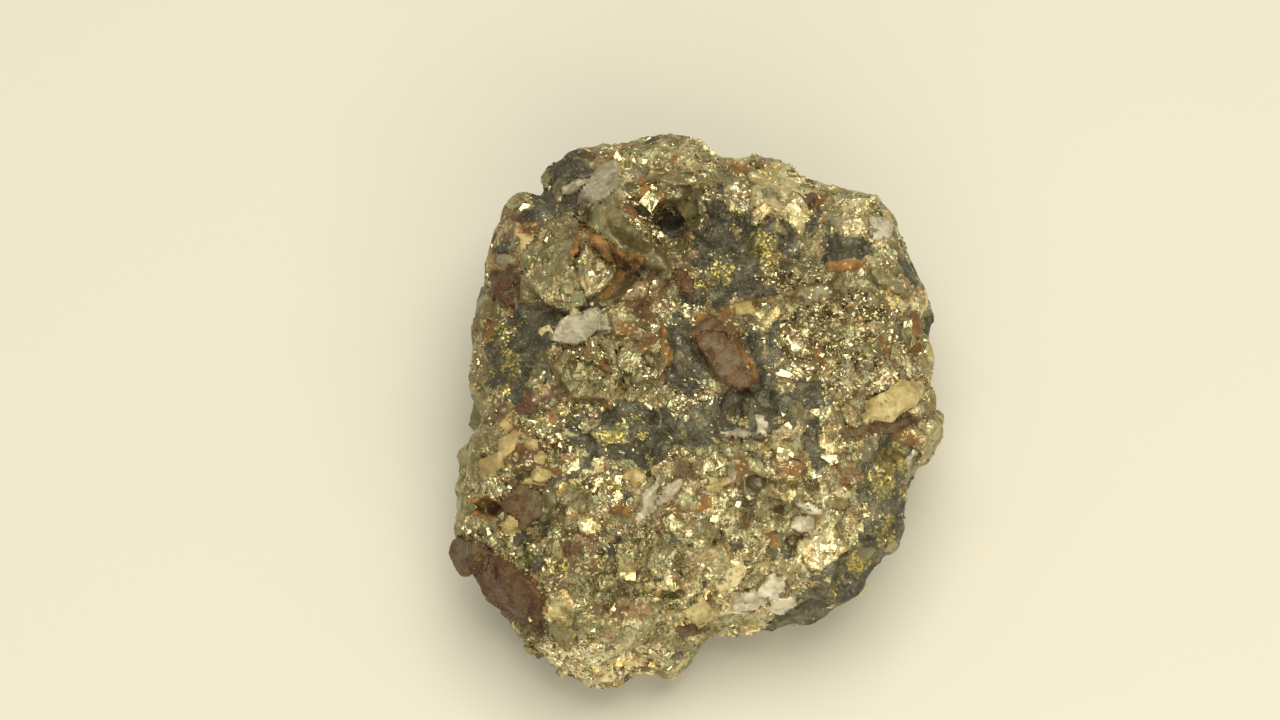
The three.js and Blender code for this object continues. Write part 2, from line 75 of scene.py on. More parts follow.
# The view that the broken face is described from: u runs right and v up, in millimetres from the
# middle of the lump, as seen from the front and VIEW_TILT above the horizon.
VIEW_TILT = math.radians(62)
FACE_MIDDLE = Vector((-0.08, -0.93, 12.0))
TOWARDS_EYE = Vector((0, -math.cos(VIEW_TILT), math.sin(VIEW_TILT)))
VIEW_UP = Vector((0, math.sin(VIEW_TILT), math.cos(VIEW_TILT)))
VIEW_RIGHT = Vector((1, 0, 0))
EYE_AXIS = np.array(TOWARDS_EYE)

# The minerals, in the order of their material slots.
MINERALS = [
    "pyrite", "plate", "pale_pyrite", "glitter", "dark", "copper", "jasper", "brown", "rust",
    "quartz", "cream", "olive",
]
PYRITE = MINERALS.index("pyrite")

# Where the broken face shows each mineral: mineral, u, v, length, width, turn in degrees and
# number of corners. Later ones lie over earlier ones.
ZONES = {
    # Veins and dark ground first.
    "left_dark": ("dark", -16.8, 6.6, 10.5, 5.4, 84, 7),
    "corner_dark": ("dark", -13.4, 24.1, 6.8, 3.6, 32, 7),
    "top_dark": ("dark", 1.2, 19.6, 3.6, 3.0, 0, 6),
    "north_vein": ("dark", 6.6, 15.6, 7.6, 6.4, 60, 7),
    "north_vein_foot": ("dark", 3.0, 12.8, 9.4, 4.6, 30, 7),
    "north_vein_left": ("dark", 1.6, 16.8, 5.6, 3.6, 70, 6),
    "middle_vein": ("dark", 5.4, 0.2, 14.6, 5.0, 16, 8),
    "middle_vein_left": ("dark", -0.8, -1.6, 5.2, 2.6, 34, 6),
    "middle_vein_up": ("dark", 6.6, 2.4, 9.6, 7.4, 40, 8),
    "middle_vein_tip": ("dark", 6.6, 6.8, 4.2, 3.4, 10, 6),
    "blue_vein": ("dark", -1.5, 5.8, 3.2, 8.0, 8, 6),
    "vein_right": ("dark", 11.4, -3.2, 5.4, 2.6, 100, 6),
    "copper_ground": ("dark", -7.0, -1.8, 10.6, 5.6, 4, 7),
    "copper_cap": ("dark", -5.2, 0.1, 5.2, 1.9, 4, 4),
    "right_vein_top": ("dark", 18.7, -6.2, 9.0, 6.6, 80, 8),
    "right_vein": ("dark", 18.6, -11.4, 9.0, 5.6, 72, 6),
    "right_vein_foot": ("dark", 15.0, -17.2, 12.6, 6.6, 42, 7),
    "right_vein_side": ("dark", 20.4, -11.0, 8.0, 4.0, 76, 6),
    "vein_tail": ("dark", 10.6, -19.8, 8.0, 2.6, 20, 6),
    "quartz_shade": ("dark", -12.3, 10.2, 6.4, 1.3, 15, 5),
    "dark_corner": ("dark", 14.6, 16.0, 4.6, 3.4, 8, 6),
    "dark_knob": ("dark", 23.2, 8.6, 1.6, 2.2, 0, 6),
    "edge_dark": ("dark", 21.6, 13.6, 2.0, 3.6, 24, 5),
    # Glittering crystals, and the dark of the cavity.
    "fine_glitter": ("glitter", -19.4, -6.9, 6.0, 2.4, 25, 5),
    "glitter_field": ("glitter", 15.4, 6.6, 14.6, 9.6, -14, 8),
    "glitter_ridge": ("glitter", 9.4, 13.2, 7.4, 2.2, -6, 6),
    "cavity_glitter": ("glitter", -5.2, 20.2, 4.0, 5.0, -30, 6),
    "cavity_dark": ("dark", -1.6, 19.0, 2.8, 3.0, 10, 7),
    # Pyrite clasts.
    "top_lobe": ("pyrite", -3.6, 25.9, 8.6, 3.8, -6, 8),
    "pyrite_wedge": ("plate", -13.2, 14.9, 10.2, 8.2, 60, 5),
    "wedge_block": ("plate", -9.7, 14.7, 6.8, 3.8, 80, 5),
    "pale_clast": ("pale_pyrite", 8.6, 22.0, 6.6, 4.8, -20, 5),
    "pale_clast_tip": ("pale_pyrite", 9.8, 19.4, 3.0, 2.2, -60, 4),
    "pale_rim": ("pale_pyrite", 6.2, 19.5, 2.6, 1.6, 40, 5),
    "pale_corner": ("pale_pyrite", 16.0, 20.5, 3.0, 1.7, 20, 5),
    "pale_s": ("pale_pyrite", 7.2, 9.3, 2.8, 1.2, 65, 5),
    "right_crystals": ("plate", 19.4, 12.8, 4.6, 1.7, -24, 5),
    "centre_block": ("plate", -8.9, 4.3, 10.0, 6.4, 2, 6),
    "block_glitter": ("glitter", -11.4, 5.9, 5.0, 1.7, -24, 5),
    "block_sparkle": ("glitter", -6.3, 5.0, 3.4, 2.6, -50, 6),
    "block_side": ("glitter", -5.2, 3.0, 3.0, 1.8, -60, 5),
    "clump_left": ("glitter", -9.2, -6.8, 3.6, 2.4, 20, 6),
    "clump_pink": ("glitter", -7.6, -7.2, 2.0, 3.0, 10, 5),
    "gold_clump": ("pale_pyrite", -10.6, -11.1, 2.8, 1.7, -30, 6),
    "clump_north": ("pale_pyrite", 1.6, -5.1, 2.2, 1.6, 30, 5),
    "clump_east": ("pale_pyrite", 8.0, -3.7, 3.6, 1.7, 0, 6),
    "clump_vein": ("pale_pyrite", 13.0, -2.8, 3.0, 2.2, -30, 6),
    "clump_under": ("pyrite", 7.4, -5.6, 4.6, 2.2, -20, 6),
    "clump_right": ("pale_pyrite", 14.6, -8.1, 2.4, 1.4, -25, 5),
    "broad_block": ("pale_pyrite", 11.9, -13.5, 5.2, 3.2, 16, 5),
    "olive_block": ("plate", 8.8, -15.2, 3.6, 2.3, 14, 4),
    "long_block": ("pale_pyrite", 3.0, -15.9, 4.8, 2.2, 62, 5),
    "round_boss": ("plate", 0.6, -14.1, 4.8, 4.6, 10, 7),
    "boss_cap": ("plate", 0.9, -11.4, 2.8, 1.5, -30, 5),
    "square_grain": ("plate", -6.9, -13.9, 2.1, 2.9, 4, 4),
    "low_block": ("plate", -9.0, -16.4, 2.6, 1.4, -10, 5),
    "foot_edge": ("glitter", -11.6, -25.2, 8.0, 3.4, -28, 6),
    "foot_side": ("glitter", -4.6, -24.2, 6.0, 2.6, 10, 6),
    "foot_plate": ("plate", -13.4, -21.6, 3.4, 1.8, -60, 6),
    "foot_block": ("pale_pyrite", -9.4, -25.8, 2.4, 1.5, -20, 5),
    "foot_gold": ("pale_pyrite", -6.6, -24.6, 3.0, 1.3, -6, 6),
    "gold_streak": ("glitter", -16.8, -13.3, 4.4, 1.3, 22, 4),
    "shelf": ("plate", -12.4, -8.4, 2.8, 2.0, 70, 5),
    "low_plate": ("plate", 6.4, -9.4, 2.4, 1.7, 20, 5),
    "mid_plate": ("plate", -2.6, -10.6, 2.6, 1.8, -20, 5),
    # Smooth olive clasts, with a dark rod and a crystal.
    "olive_wedge": ("olive", -6.8, 12.6, 4.6, 2.2, 40, 3),
    "olive_lens": ("olive", -9.2, 21.6, 3.0, 1.9, -60, 5),
    "cavity_ridge": ("olive", -2.0, 23.2, 5.8, 1.6, -4, 5),
    "cavity_wall": ("olive", -0.6, 20.4, 2.6, 4.0, 10, 5),
    "ridge_olive": ("olive", 11.6, 11.7, 4.4, 1.5, 4, 6),
    "edge_clast": ("olive", -21.2, 10.6, 2.8, 3.4, 10, 5),
    "slit_rod": ("dark", 11.8, 19.3, 2.8, 0.7, 66, 4),
    "shell": ("olive", -14.9, -9.0, 3.6, 1.8, 82, 6),
    "dark_hole": ("olive", 5.3, -7.0, 2.4, 2.1, -40, 3),
    "spot_olive": ("olive", 13.8, -9.1, 2.0, 1.0, -6, 5),
    "edge_crystal": ("plate", 22.9, -3.4, 6.8, 3.0, -110, 5),
    # Jasper and brown bands, the long olive blade and the mottled clast.
    "jasper_band": ("brown", -3.5, 12.9, 8.8, 2.9, 40, 5),
    "olive_blade": ("olive", -7.0, 17.2, 11.6, 2.7, -41, 6),
    "jasper_spot": ("jasper", -1.1, 12.3, 1.2, 2.0, 10, 4),
    "red_jasper": ("jasper", 2.6, 5.6, 8.2, 4.0, -54, 6),
    "red_arch": ("brown", -16.9, 0.9, 6.4, 1.9, 20, 5),
    "red_clast": ("jasper", -17.2, -9.3, 4.2, 3.6, 60, 6),
    "red_lump": ("jasper", -22.6, -14.8, 4.6, 4.2, -60, 8),
    "dark_jasper": ("jasper", -18.5, -17.6, 8.6, 4.6, -44, 5),
    "band_under_cream": ("jasper", 18.0, -1.5, 8.2, 1.2, 10, 5),
    "brown_streak": ("brown", -10.4, -12.8, 6.0, 1.6, 14, 5),
    "brown_run": ("brown", -12.8, -14.8, 4.8, 1.8, 60, 5),
    "brown_lobe": ("brown", -7.7, -19.2, 5.4, 1.7, 2, 5),
    "brown_foot": ("jasper", -0.6, -21.3, 3.2, 1.3, 10, 4),
    "red_chip": ("jasper", -1.3, -5.8, 1.6, 1.2, -20, 3),
    "brown_chip": ("brown", 4.4, -12.3, 1.0, 1.8, 10, 4),
    "mottled_clast": ("brown", -18.9, 16.4, 7.8, 4.6, 76, 7),
    "mottled_foot": ("jasper", -19.2, 12.3, 2.4, 3.2, 0, 5),
    "mottled_dark": ("dark", -18.9, 16.2, 3.4, 1.5, 6, 6),
    "mottled_top": ("dark", -14.2, 20.9, 6.4, 3.2, 30, 7),
    "rusty_pit": ("rust", -20.9, -9.3, 3.6, 2.3, -10, 6),
    "pink_clast": ("brown", 14.2, -6.0, 4.0, 2.0, -14, 5),
    "corner_brown": ("brown", -9.6, 25.4, 2.8, 1.8, 0, 5),
    # Orange iron stain.
    "amber_fracture": ("rust", -8.7, 15.8, 7.4, 1.1, -45, 4),
    "amber_tail": ("rust", -8.0, 12.9, 4.0, 0.9, 56, 4),
    "amber_tip": ("rust", -6.7, 14.9, 2.2, 1.6, -60, 3),
    "amber_side": ("rust", -12.0, 16.4, 3.2, 0.7, 75, 4),
    "mottled_orange": ("rust", -16.7, 18.3, 2.0, 1.5, 20, 5),
    "jasper_tip": ("rust", 3.1, 8.8, 3.2, 1.4, -68, 4),
    "jasper_edge": ("rust", 4.5, 5.5, 4.4, 0.9, -56, 4),
    "orange_patch": ("rust", -6.9, 8.4, 1.7, 1.4, 0, 5),
    "orange_block": ("rust", -5.2, 6.7, 2.4, 1.3, 40, 5),
    "block_crack": ("brown", -8.9, 3.7, 6.0, 0.5, -50, 4),
    "orange_corner": ("rust", 14.5, 14.3, 3.6, 1.4, 2, 5),
    "orange_edge": ("rust", 21.8, 8.4, 1.5, 2.2, 0, 5),
    "orange_side": ("rust", -20.8, 8.1, 1.4, 2.0, -20, 4),
    "orange_top": ("rust", 4.1, 24.4, 1.8, 1.0, 0, 5),
    "orange_arc": ("rust", 20.4, -2.5, 2.6, 1.1, -24, 5),
    "orange_chip": ("rust", -7.2, -9.4, 2.2, 0.9, 6, 4),
    "orange_blade": ("rust", 4.1, -5.4, 2.2, 0.9, 80, 4),
    "amber_blade": ("rust", -3.3, 6.6, 4.0, 0.9, 98, 4),
    # Quartz, grey blades and cream clasts.
    "quartz_clast": ("quartz", -11.7, 8.3, 5.4, 3.0, 24, 5),
    "corner_quartz": ("quartz", -12.4, 22.5, 2.8, 1.2, 34, 5),
    "lens_quartz": ("quartz", -9.6, 22.9, 5.4, 2.6, 56, 5),
    "mottled_quartz": ("quartz", -19.2, 14.8, 2.0, 1.0, -20, 6),
    "pink_quartz": ("quartz", 18.2, 18.2, 2.6, 2.3, -30, 6),
    "quartz_bar": ("quartz", 4.9, -18.6, 3.4, 1.9, 10, 5),
    "quartz_bar_end": ("quartz", 7.3, -17.2, 3.0, 2.0, 40, 5),
    "quartz_foot": ("quartz", 8.4, -18.9, 2.8, 1.7, 24, 5),
    "white_specks": ("quartz", 3.8, -2.1, 2.4, 0.9, 6, 5),
    "white_chip": ("quartz", 6.1, -1.2, 0.9, 1.5, 10, 4),
    "grey_blade": ("quartz", -4.9, -8.4, 3.8, 1.1, 68, 4),
    "pink_blade": ("quartz", -2.8, -7.6, 2.8, 0.9, 45, 4),
    "grey_bump": ("quartz", 10.2, -10.9, 1.9, 1.5, 0, 7),
    "grey_bar": ("quartz", 10.8, -9.5, 2.4, 0.9, -16, 5),
    "grey_chip": ("quartz", 3.1, -6.1, 0.9, 1.0, 10, 5),
    "edge_vein": ("quartz", 21.1, -5.2, 3.2, 0.7, 78, 4),
    "cream_clast": ("cream", 19.3, 1.1, 6.8, 2.7, 30, 6),
    "tan_hook": ("cream", -18.5, -3.0, 2.6, 1.9, 70, 4),
    "tan_hook_foot": ("cream", -20.1, -5.0, 3.0, 1.5, 38, 4),
    "cream_grains": ("brown", -15.9, -3.8, 3.8, 3.0, 70, 7),
    "cream_grain_top": ("cream", -16.3, -2.9, 1.3, 1.1, 0, 6),
    "cream_grain_mid": ("cream", -15.2, -4.2, 1.2, 1.3, 20, 6),
    "cream_bump": ("cream", -15.3, -6.1, 2.2, 1.4, 0, 7),
    "cream_cube": ("cream", 0.2, -19.6, 2.6, 2.2, 6, 4),
    "tan_blade": ("cream", 2.0, -7.1, 2.2, 0.8, 25, 4),
    "tan_crystal": ("cream", 4.7, 10.4, 1.9, 1.0, 20, 4),
    "pale_square": ("cream", -18.5, -10.9, 1.7, 1.4, 30, 4),
    "layered_chip": ("cream", -6.2, -6.1, 1.7, 1.4, -20, 4),
    # Chalcopyrite, in the dark veins.
    "copper_left": ("copper", -19.3, 5.6, 7.4, 3.0, 82, 7),
    "copper_centre": ("copper", -7.1, -1.9, 4.8, 2.6, 10, 6),
    "copper_north": ("copper", 7.0, 16.8, 5.0, 3.2, 80, 7),
    "copper_north_left": ("copper", 3.6, 18.8, 2.4, 1.6, 60, 6),
    "copper_vein": ("copper", 2.2, 13.2, 3.6, 2.2, 20, 6),
    "copper_speck": ("copper", 1.7, 16.0, 2.2, 1.3, 30, 6),
    "copper_right": ("copper", 18.9, -6.0, 5.6, 3.4, 75, 7),
    "copper_right_mid": ("copper", 18.4, -11.6, 2.4, 1.6, 60, 5),
    "copper_foot": ("copper", 15.4, -15.2, 2.6, 2.0, 42, 6),
    "copper_toe": ("copper", 14.1, -17.0, 2.0, 2.8, -10, 6),
    "copper_low": ("copper", -15.3, -14.7, 3.8, 1.5, 0, 5),
    # Narrow open cracks, painted with the dark mineral as painted shade.
    "crack_left": ("dark", -13.4, -6.1, 8.6, 0.4, 24, 4),
    "crack_blade": ("dark", -4.9, -5.6, 2.8, 0.4, -66, 4),
    "crack_foot": ("dark", -3.8, -9.5, 2.4, 0.35, 52, 4),
    "crack_streak": ("dark", -18.6, -12.7, 4.6, 0.4, 20, 4),
    "crack_square": ("dark", -8.1, -14.0, 3.4, 0.4, 88, 4),
    "crack_wedge": ("dark", -17.4, 14.6, 6.6, 0.5, 68, 4),
    "crack_north": ("dark", 12.6, 17.2, 4.0, 0.4, 62, 4),
}

# Flat crystal faces that flash in the light: u, v, length, width and how red-gold they are. The
# red-gold is a painted reflection of a warm lamp.
FLASHES = {
    "top": (-5.2, 24.9, 0.7, 0.6, 0.0), "corner": (-17.3, 20.3, 1.1, 0.8, 0.0),
    "lens": (-8.0, 25.5, 1.0, 0.7, 0.1), "square": (-6.7, -15.7, 1.3, 1.1, 0.8),
    "vein": (8.5, 3.7, 0.7, 1.5, 0.2), "band": (8.8, -1.4, 0.9, 0.6, 0.5),
    "wedge": (-10.5, 13.6, 0.6, 0.5, 0.1), "clump": (-7.8, -6.4, 0.8, 0.7, 0.5),
    "clump_low": (-7.8, -7.9, 0.8, 0.6, 0.4), "clump_side": (-8.6, -7.3, 0.5, 0.4, 0.5),
    "east": (7.9, -3.8, 0.8, 0.6, 0.3), "east_side": (9.0, -4.1, 0.6, 0.5, 0.3),
    "north": (1.8, -5.1, 0.9, 0.8, 0.4), "boss": (1.5, -10.3, 0.6, 0.9, 0.7),
    "block": (13.1, -13.1, 0.7, 0.6, 0.4), "long": (3.5, -14.5, 0.6, 0.8, 0.4),
    "fringe": (0.6, -18.0, 0.8, 0.4, 0.4), "fringe_side": (2.1, -17.8, 0.7, 0.6, 0.5),
    "lobe": (-15.6, -23.5, 0.8, 0.7, 0.6), "lobe_top": (-16.4, -20.2, 0.6, 0.4, 0.3),
    "lobe_gold": (-7.8, -24.7, 0.9, 0.7, 0.7), "lobe_red": (-4.5, -24.9, 0.7, 0.6, 0.8),
    "lobe_left": (-10.2, -25.3, 0.6, 0.5, 0.5), "foot": (-1.6, -20.7, 0.4, 0.4, 0.3),
    "grain": (3.8, -8.9, 0.7, 0.5, 0.1), "toe": (11.2, -16.8, 0.4, 0.5, 0.5),
    "right": (16.4, -10.1, 0.5, 0.4, 0.4), "knot": (0.9, -17.6, 0.4, 0.4, 0.4),
}


# The lump's own patterns, worked out on points in millimetres.

# Large odd numbers that turn a cell and a salt into a repeatable random number, and the bits of
# it that a float holds.
CELL_STEPS = np.array([73856093, 19349663, 83492791])
SALT_STEP = 668265263
KEY_FACTORS = (0xFF51AFD7ED558CCD, 0xC4CEB9FE1A85EC53)
KEY_SHIFT = np.uint64(33)
FLOAT_BITS = 53

# Where each pattern's random draws start.
SALTS = {
    "tint": 7, "clasts": 41, "chips": 53, "swap": 59, "crystals": 61, "roughness": 81,
    "hidden": 97, "broad_wave": 301, "fine_wave": 311,
}

# How high the middle of a crystal stands, in shares of its size.
CREST = 0.35


def cell_random(cell, salt):
    """A repeatable number from 0 to 1 for each whole-number cell."""
    key = (cell @ CELL_STEPS + salt * SALT_STEP).astype(np.uint64)
    for factor in KEY_FACTORS:
        key ^= key >> KEY_SHIFT
        key *= np.uint64(factor)
    key ^= key >> KEY_SHIFT
    return (key >> np.uint64(64 - FLOAT_BITS)).astype(float) / float(1 << FLOAT_BITS)


def soft_noise(points, size, salt):
    """Smooth noise from -1 to 1, with waves of the given size."""
    home = points / size
    cell = np.floor(home).astype(np.int64)
    share = home - cell
    share = share * share * (3 - 2 * share)
    total = np.zeros(len(points))
    for corner in product((0, 1), repeat=3):
        weight = np.prod(np.where(np.array(corner) == 1, share, 1 - share), axis=1)
        total += weight * cell_random(cell + np.array(corner), salt)
    return 2 * total - 1


def soft_offsets(points, size, salt):
    """Smooth noise along each axis."""
    return np.stack([soft_noise(points, size, salt + axis) for axis in range(3)], axis=1)


def unit(vectors):
    """The vectors at a length of 1."""
    return vectors / np.linalg.norm(vectors, axis=1)[:, None]


def cells(points, size, salt):
    """Interlocking crystals, each a turned cube grown from a random middle.

    Gives each point's crystal as a number from 0 to 1, its height over the crystal's flanks in
    shares of the size, the distance to the next crystal, and the crystal's middle.
    """
    home = points / size
    cell = np.floor(home).astype(np.int64)
    nearest = np.full(len(points), np.inf)
    second = np.full(len(points), np.inf)
    number = np.zeros(len(points))
    middle = np.zeros_like(points)
    for offset in product((-1, 0, 1), repeat=3):
        corner = cell + np.array(offset)
        draws = [cell_random(corner, salt + k) for k in range(10)]
        place = corner + np.stack(draws[:3], axis=1)
        away = home - place
        first = unit(np.stack(draws[3:6], axis=1) - 0.5)
        across = unit(np.cross(first, np.stack(draws[6:9], axis=1) - 0.5))
        axes = (first, across, np.cross(first, across))
        distance = np.maximum.reduce([np.abs((axis * away).sum(1)) for axis in axes])
        closer = distance < nearest
        second = np.where(closer, nearest, np.minimum(second, distance))
        nearest = np.where(closer, distance, nearest)
        number = np.where(closer, draws[9], number)
        middle = np.where(closer[:, None], place * size, middle)
    return number, CREST - nearest, (second - nearest) * size, middle


def face_place(points):
    """u and v of points in millimetres."""
    offset = points - np.array(FACE_MIDDLE)
    return offset @ np.array(VIEW_RIGHT), offset @ np.array(VIEW_UP)


# Where the seen side begins, by a point's place on the lump and by how it faces the eye, and how
# much more of either makes it wholly seen.
SEEN_PLACE = -0.22
SEEN_FACING = 0.05
SEEN_FADE = 0.12


def seen_share(points, facing):
    """How far each point lies on the seen side, from 0 to 1, by its place and how it faces the eye."""
    half = (CAD_HIGH - CAD_LOW) / 2
    outward = unit((points - (CAD_HIGH + CAD_LOW) / 2) / (half * half)) @ EYE_AXIS
    return np.clip(np.maximum(outward - SEEN_PLACE, facing - SEEN_FACING) / SEEN_FADE, 0, 1)


def zone_frame(place, u, v):
    """Coordinates along and across a zone or hollow, 1 at its ends."""
    middle_u, middle_v, along, across, turn = place
    cos, sin = math.cos(math.radians(turn)), math.sin(math.radians(turn))
    a = ((u - middle_u) * cos + (v - middle_v) * sin) / (along / 2)
    b = (-(u - middle_u) * sin + (v - middle_v) * cos) / (across / 2)
    return a, b


def zone_reach(place, corners, u, v):
    """A number that is under 1 inside the zone, 1 on its edge and more outside.

    Where its first corner points goes by its place, so that no two zones are alike.
    """
    a, b = zone_frame(place, u, v)
    start = (place[0] * 3 + place[1] * 7) % 1
    reach = np.full(len(u), -np.inf)
    for k in range(corners):
        facing = (k + start) / corners * 2 * math.pi
        reach = np.maximum(reach, a * math.cos(facing) + b * math.sin(facing))
    return reach


# How fast a zone's lean along and across it changes with its u and v, in radians to a millimetre.
LEAN_WAVES = ((12.9, 4.1), (7.3, -9.7))


def zone_lean(place):
    """How a zone's top leans, along and across it, from -1 to 1, going by its place."""
    u, v = place[:2]
    return tuple(math.sin(u * by_u + v * by_v) for by_u, by_v in LEAN_WAVES)


METALLIC = ("pyrite", "plate", "pale_pyrite")

# Minerals whose clasts keep a clean outline. The others break off along the chips they are made of.
CRISP = ("jasper", "quartz", "cream", "olive", "rust", "plate", "pale_pyrite")

# The crisp clasts that stand up from the ground, which is all but the stains.
STANDING = tuple(name for name in CRISP if name != "rust")

# They stand up by this much, lean by up to this much, slope down over this width at the edge, and
# have a crack of this width and depth round them. All in millimetres.
CLAST_RISE = 0.22
CLAST_LEAN = 0.30
CLAST_EDGE = 0.3
CRACK_WIDTH = 0.22
CRACK_DEPTH = 0.25

# How far a standing clast's surface moves at most to make its top flat, in millimetres.
FLATTEN = 0.9

# The hidden sides: how often a clast of the breccia is of each mineral.
HIDDEN_SHARES = {
    "pyrite": 0.30, "plate": 0.06, "pale_pyrite": 0.08, "glitter": 0.12, "dark": 0.17, "copper": 0.06,
    "jasper": 0.07, "brown": 0.05, "quartz": 0.03, "cream": 0.03, "olive": 0.03,
}

# Small chips of other minerals in each mineral: which, and what share of its chips.
CHIPS = {
    "pyrite": {"brown": 0.035, "pale_pyrite": 0.05, "dark": 0.05, "rust": 0.05, "olive": 0.05},
    "plate": {"pyrite": 0.10, "brown": 0.02},
    "pale_pyrite": {"pyrite": 0.16, "brown": 0.03},
    "glitter": {"dark": 0.10, "pyrite": 0.12, "brown": 0.04},
    "dark": {"pyrite": 0.02, "brown": 0.03, "olive": 0.04},
    "copper": {"dark": 0.25, "pyrite": 0.02},
    "brown": {"cream": 0.02, "pyrite": 0.10, "jasper": 0.10, "rust": 0.06},
}

# What the clasts of the pyrite ground are made of. The rest are plain pyrite.
CLASTS = {"plate": 0.34, "pale_pyrite": 0.07, "glitter": 0.16}

# Painted light and shade: broad areas that are paler or duller than the rest: u, v, length, width, turn
# and strength.
BROAD_LIGHT_AND_SHADE = {
    "left_side": (-19.5, -1.0, 36.0, 9.0, 90, -0.5),
    "low_left": (-17.5, -14.0, 12.0, 10.0, -40, -0.6),
    "low_centre": (-8.5, -12.5, 12.0, 6.5, 20, -0.5),
    "above_foot": (-11.7, -18.2, 8.0, 9.0, 0, -0.8),
    "top_middle": (-1.0, 15.5, 16.0, 12.0, 0, -0.4),
    "low_right": (8.5, -14.0, 18.0, 9.0, 15, 0.45),
    "low_middle": (2.5, -19.0, 13.0, 6.0, 10, 0.5),
    "right_side": (18.0, -2.5, 12.0, 9.0, 0, 0.4),
    "top_right": (10.5, 22.0, 16.0, 7.0, -25, 0.2),
    "upper_right": (11.0, 11.0, 18.0, 8.5, -8, -0.6),
    "foot": (-8.0, -24.5, 13.0, 6.0, 0, 0.4),
}

# How much paler or duller single clasts are than others of their mineral.
TONES = {
    "dark_jasper": -0.5, "red_clast": 0.7, "shell": -0.4, "red_jasper": -0.05, "red_lump": 0.7,
    "quartz_clast": -0.3, "brown_lobe": 0.3, "pale_clast_tip": -0.2, "long_block": 0.5,
    "broad_block": 0.5, "clump_north": 0.5, "foot_block": 0.4, "foot_gold": 0.5, "foot_edge": 0.5,
    "foot_side": 0.4, "pale_rim": 0.4, "gold_clump": 0.3, "clump_right": 0.4,
    "right_vein_top": 0.5, "right_vein": 0.3, "edge_crystal": 0.4, "boss_cap": 0.4,
    "foot_plate": -0.3, "pyrite_wedge": -0.2, "centre_block": -0.3, "quartz_bar": 0.5,
    "quartz_foot": 0.3, "grey_bar": 0.6, "grey_chip": 0.5, "pink_quartz": 0.4,
    "mottled_quartz": -0.6, "corner_quartz": -0.4, "lens_quartz": -0.5, "orange_arc": 0.8,
    "rusty_pit": 0.4, "orange_patch": 0.4, "orange_corner": 0.4, "amber_tip": 0.5,
    "amber_tail": 0.5, "cavity_ridge": 0.6, "edge_clast": 0.4, "olive_lens": 0.3,
    "ridge_olive": -0.4, "dark_hole": -0.5, "olive_wedge": -0.3, "brown_streak": -0.4,
    "brown_run": -0.3, "block_crack": -0.6, "band_under_cream": -0.3, "cream_cube": 0.3,
    "gold_streak": 0.6, "fine_glitter": 0.6, "quartz_shade": -0.5,
}

# Sizes in millimetres: the breccia's clasts on the seen and the hidden sides, the chips, the large
# crystals, and the mortar between clasts.
CLAST_SIZE = 3.6
HIDDEN_CLAST_SIZE = CLAST_SIZE * 1.5
CHIP_SIZE = 1.5
CRYSTAL_SIZE = 2.7
MORTAR_WIDTH = 0.30

# Edges are bent by broad and fine waves of these sizes. The breccia's clasts and the zones are
# moved by this much of each. All in millimetres.
BROAD_WAVE = 2.1
FINE_WAVE = 0.5
CLAST_BEND = (0.8, 0.12)
ZONE_BEND = (0.30, 0.08)

# How far the edge of a zone that isn't crisp follows the chips, from 0 to 1.
CHIP_PULL = 0.65

# The seen share at which the zones give way to the hidden sides, and how ragged that line is.
ZONES_END = 0.5
ZONES_RAGGED = 0.3

# How full the mortar is, how ragged its edge is, and how much of a crack's depth it has.
MORTAR_FILL = 1.3
MORTAR_RAGGED = 0.8
MORTAR_SHARE = 0.7

# Chips whose middles lie in the same cube of this edge, in millimetres, draw the same number, and
# so do clasts whose numbers fall on the same one of these steps.
CHIP_STEP = 0.05
CLAST_STEPS = 5000


def pick(number, shares, otherwise):
    """The mineral that a number from 0 to 1 falls on, going by the shares."""
    chosen = np.full(len(number), otherwise)
    low = 0.0
    for name, share in shares.items():
        chosen[(number >= low) & (number < low + share)] = MINERALS.index(name)
        low += share
    return chosen


def by_mineral(table, mineral):
    """Each point's value in a table of minerals, or 0 where its mineral has none."""
    return np.array([table.get(name, 0.0) for name in MINERALS])[mineral]


def broad_light_and_shade_of(points):
    """How much paler or duller points are, going by the broad areas of painted light and shade."""
    u, v = face_place(points)
    total = np.zeros(len(points))
    for *place, strength in BROAD_LIGHT_AND_SHADE.values():
        a, b = zone_frame(place, u, v)
        total += strength * np.clip(1 - a * a - b * b, 0, 1)
    return total


def paint_zones(u, v, ragged_u, ragged_v):
    """What the broken face shows. Crisp clasts go by u and v, and the others by the ragged ones."""
    mineral = np.full(len(u), PYRITE)
    owner = np.full(len(u), -1)
    shade, rise, crack, inner = np.zeros((4, len(u)))
    for index, (name, (kind, *place, corners)) in enumerate(ZONES.items()):
        here = (u, v) if kind in CRISP else (ragged_u, ragged_v)
        reach = zone_reach(place, corners, *here)
        inside = reach < 1
        mineral[inside] = MINERALS.index(kind)
        shade[inside] = TONES.get(name, 0.0)
        owner[inside] = index if kind in STANDING else -1
        if kind == "rust":
            rise[inside] = 0
        if kind in STANDING:
            edge = (reach - 1) * min(place[2:4]) / 2
            a, b = zone_frame(place, u, v)
            lean_a, lean_b = zone_lean(place)
            top = CLAST_RISE + CLAST_LEAN * (lean_a * a + lean_b * b)
            inner = np.where(inside, np.clip(-edge / CLAST_EDGE, 0, 1), inner)
            rise = np.where(inside, top * inner, rise)
            crack = np.where(inside, 0, np.where(edge < CRACK_WIDTH, 1, crack))
    return {
        "mineral": mineral, "owner": owner, "shade": shade, "rise": rise, "crack": crack,
        "inner": inner}


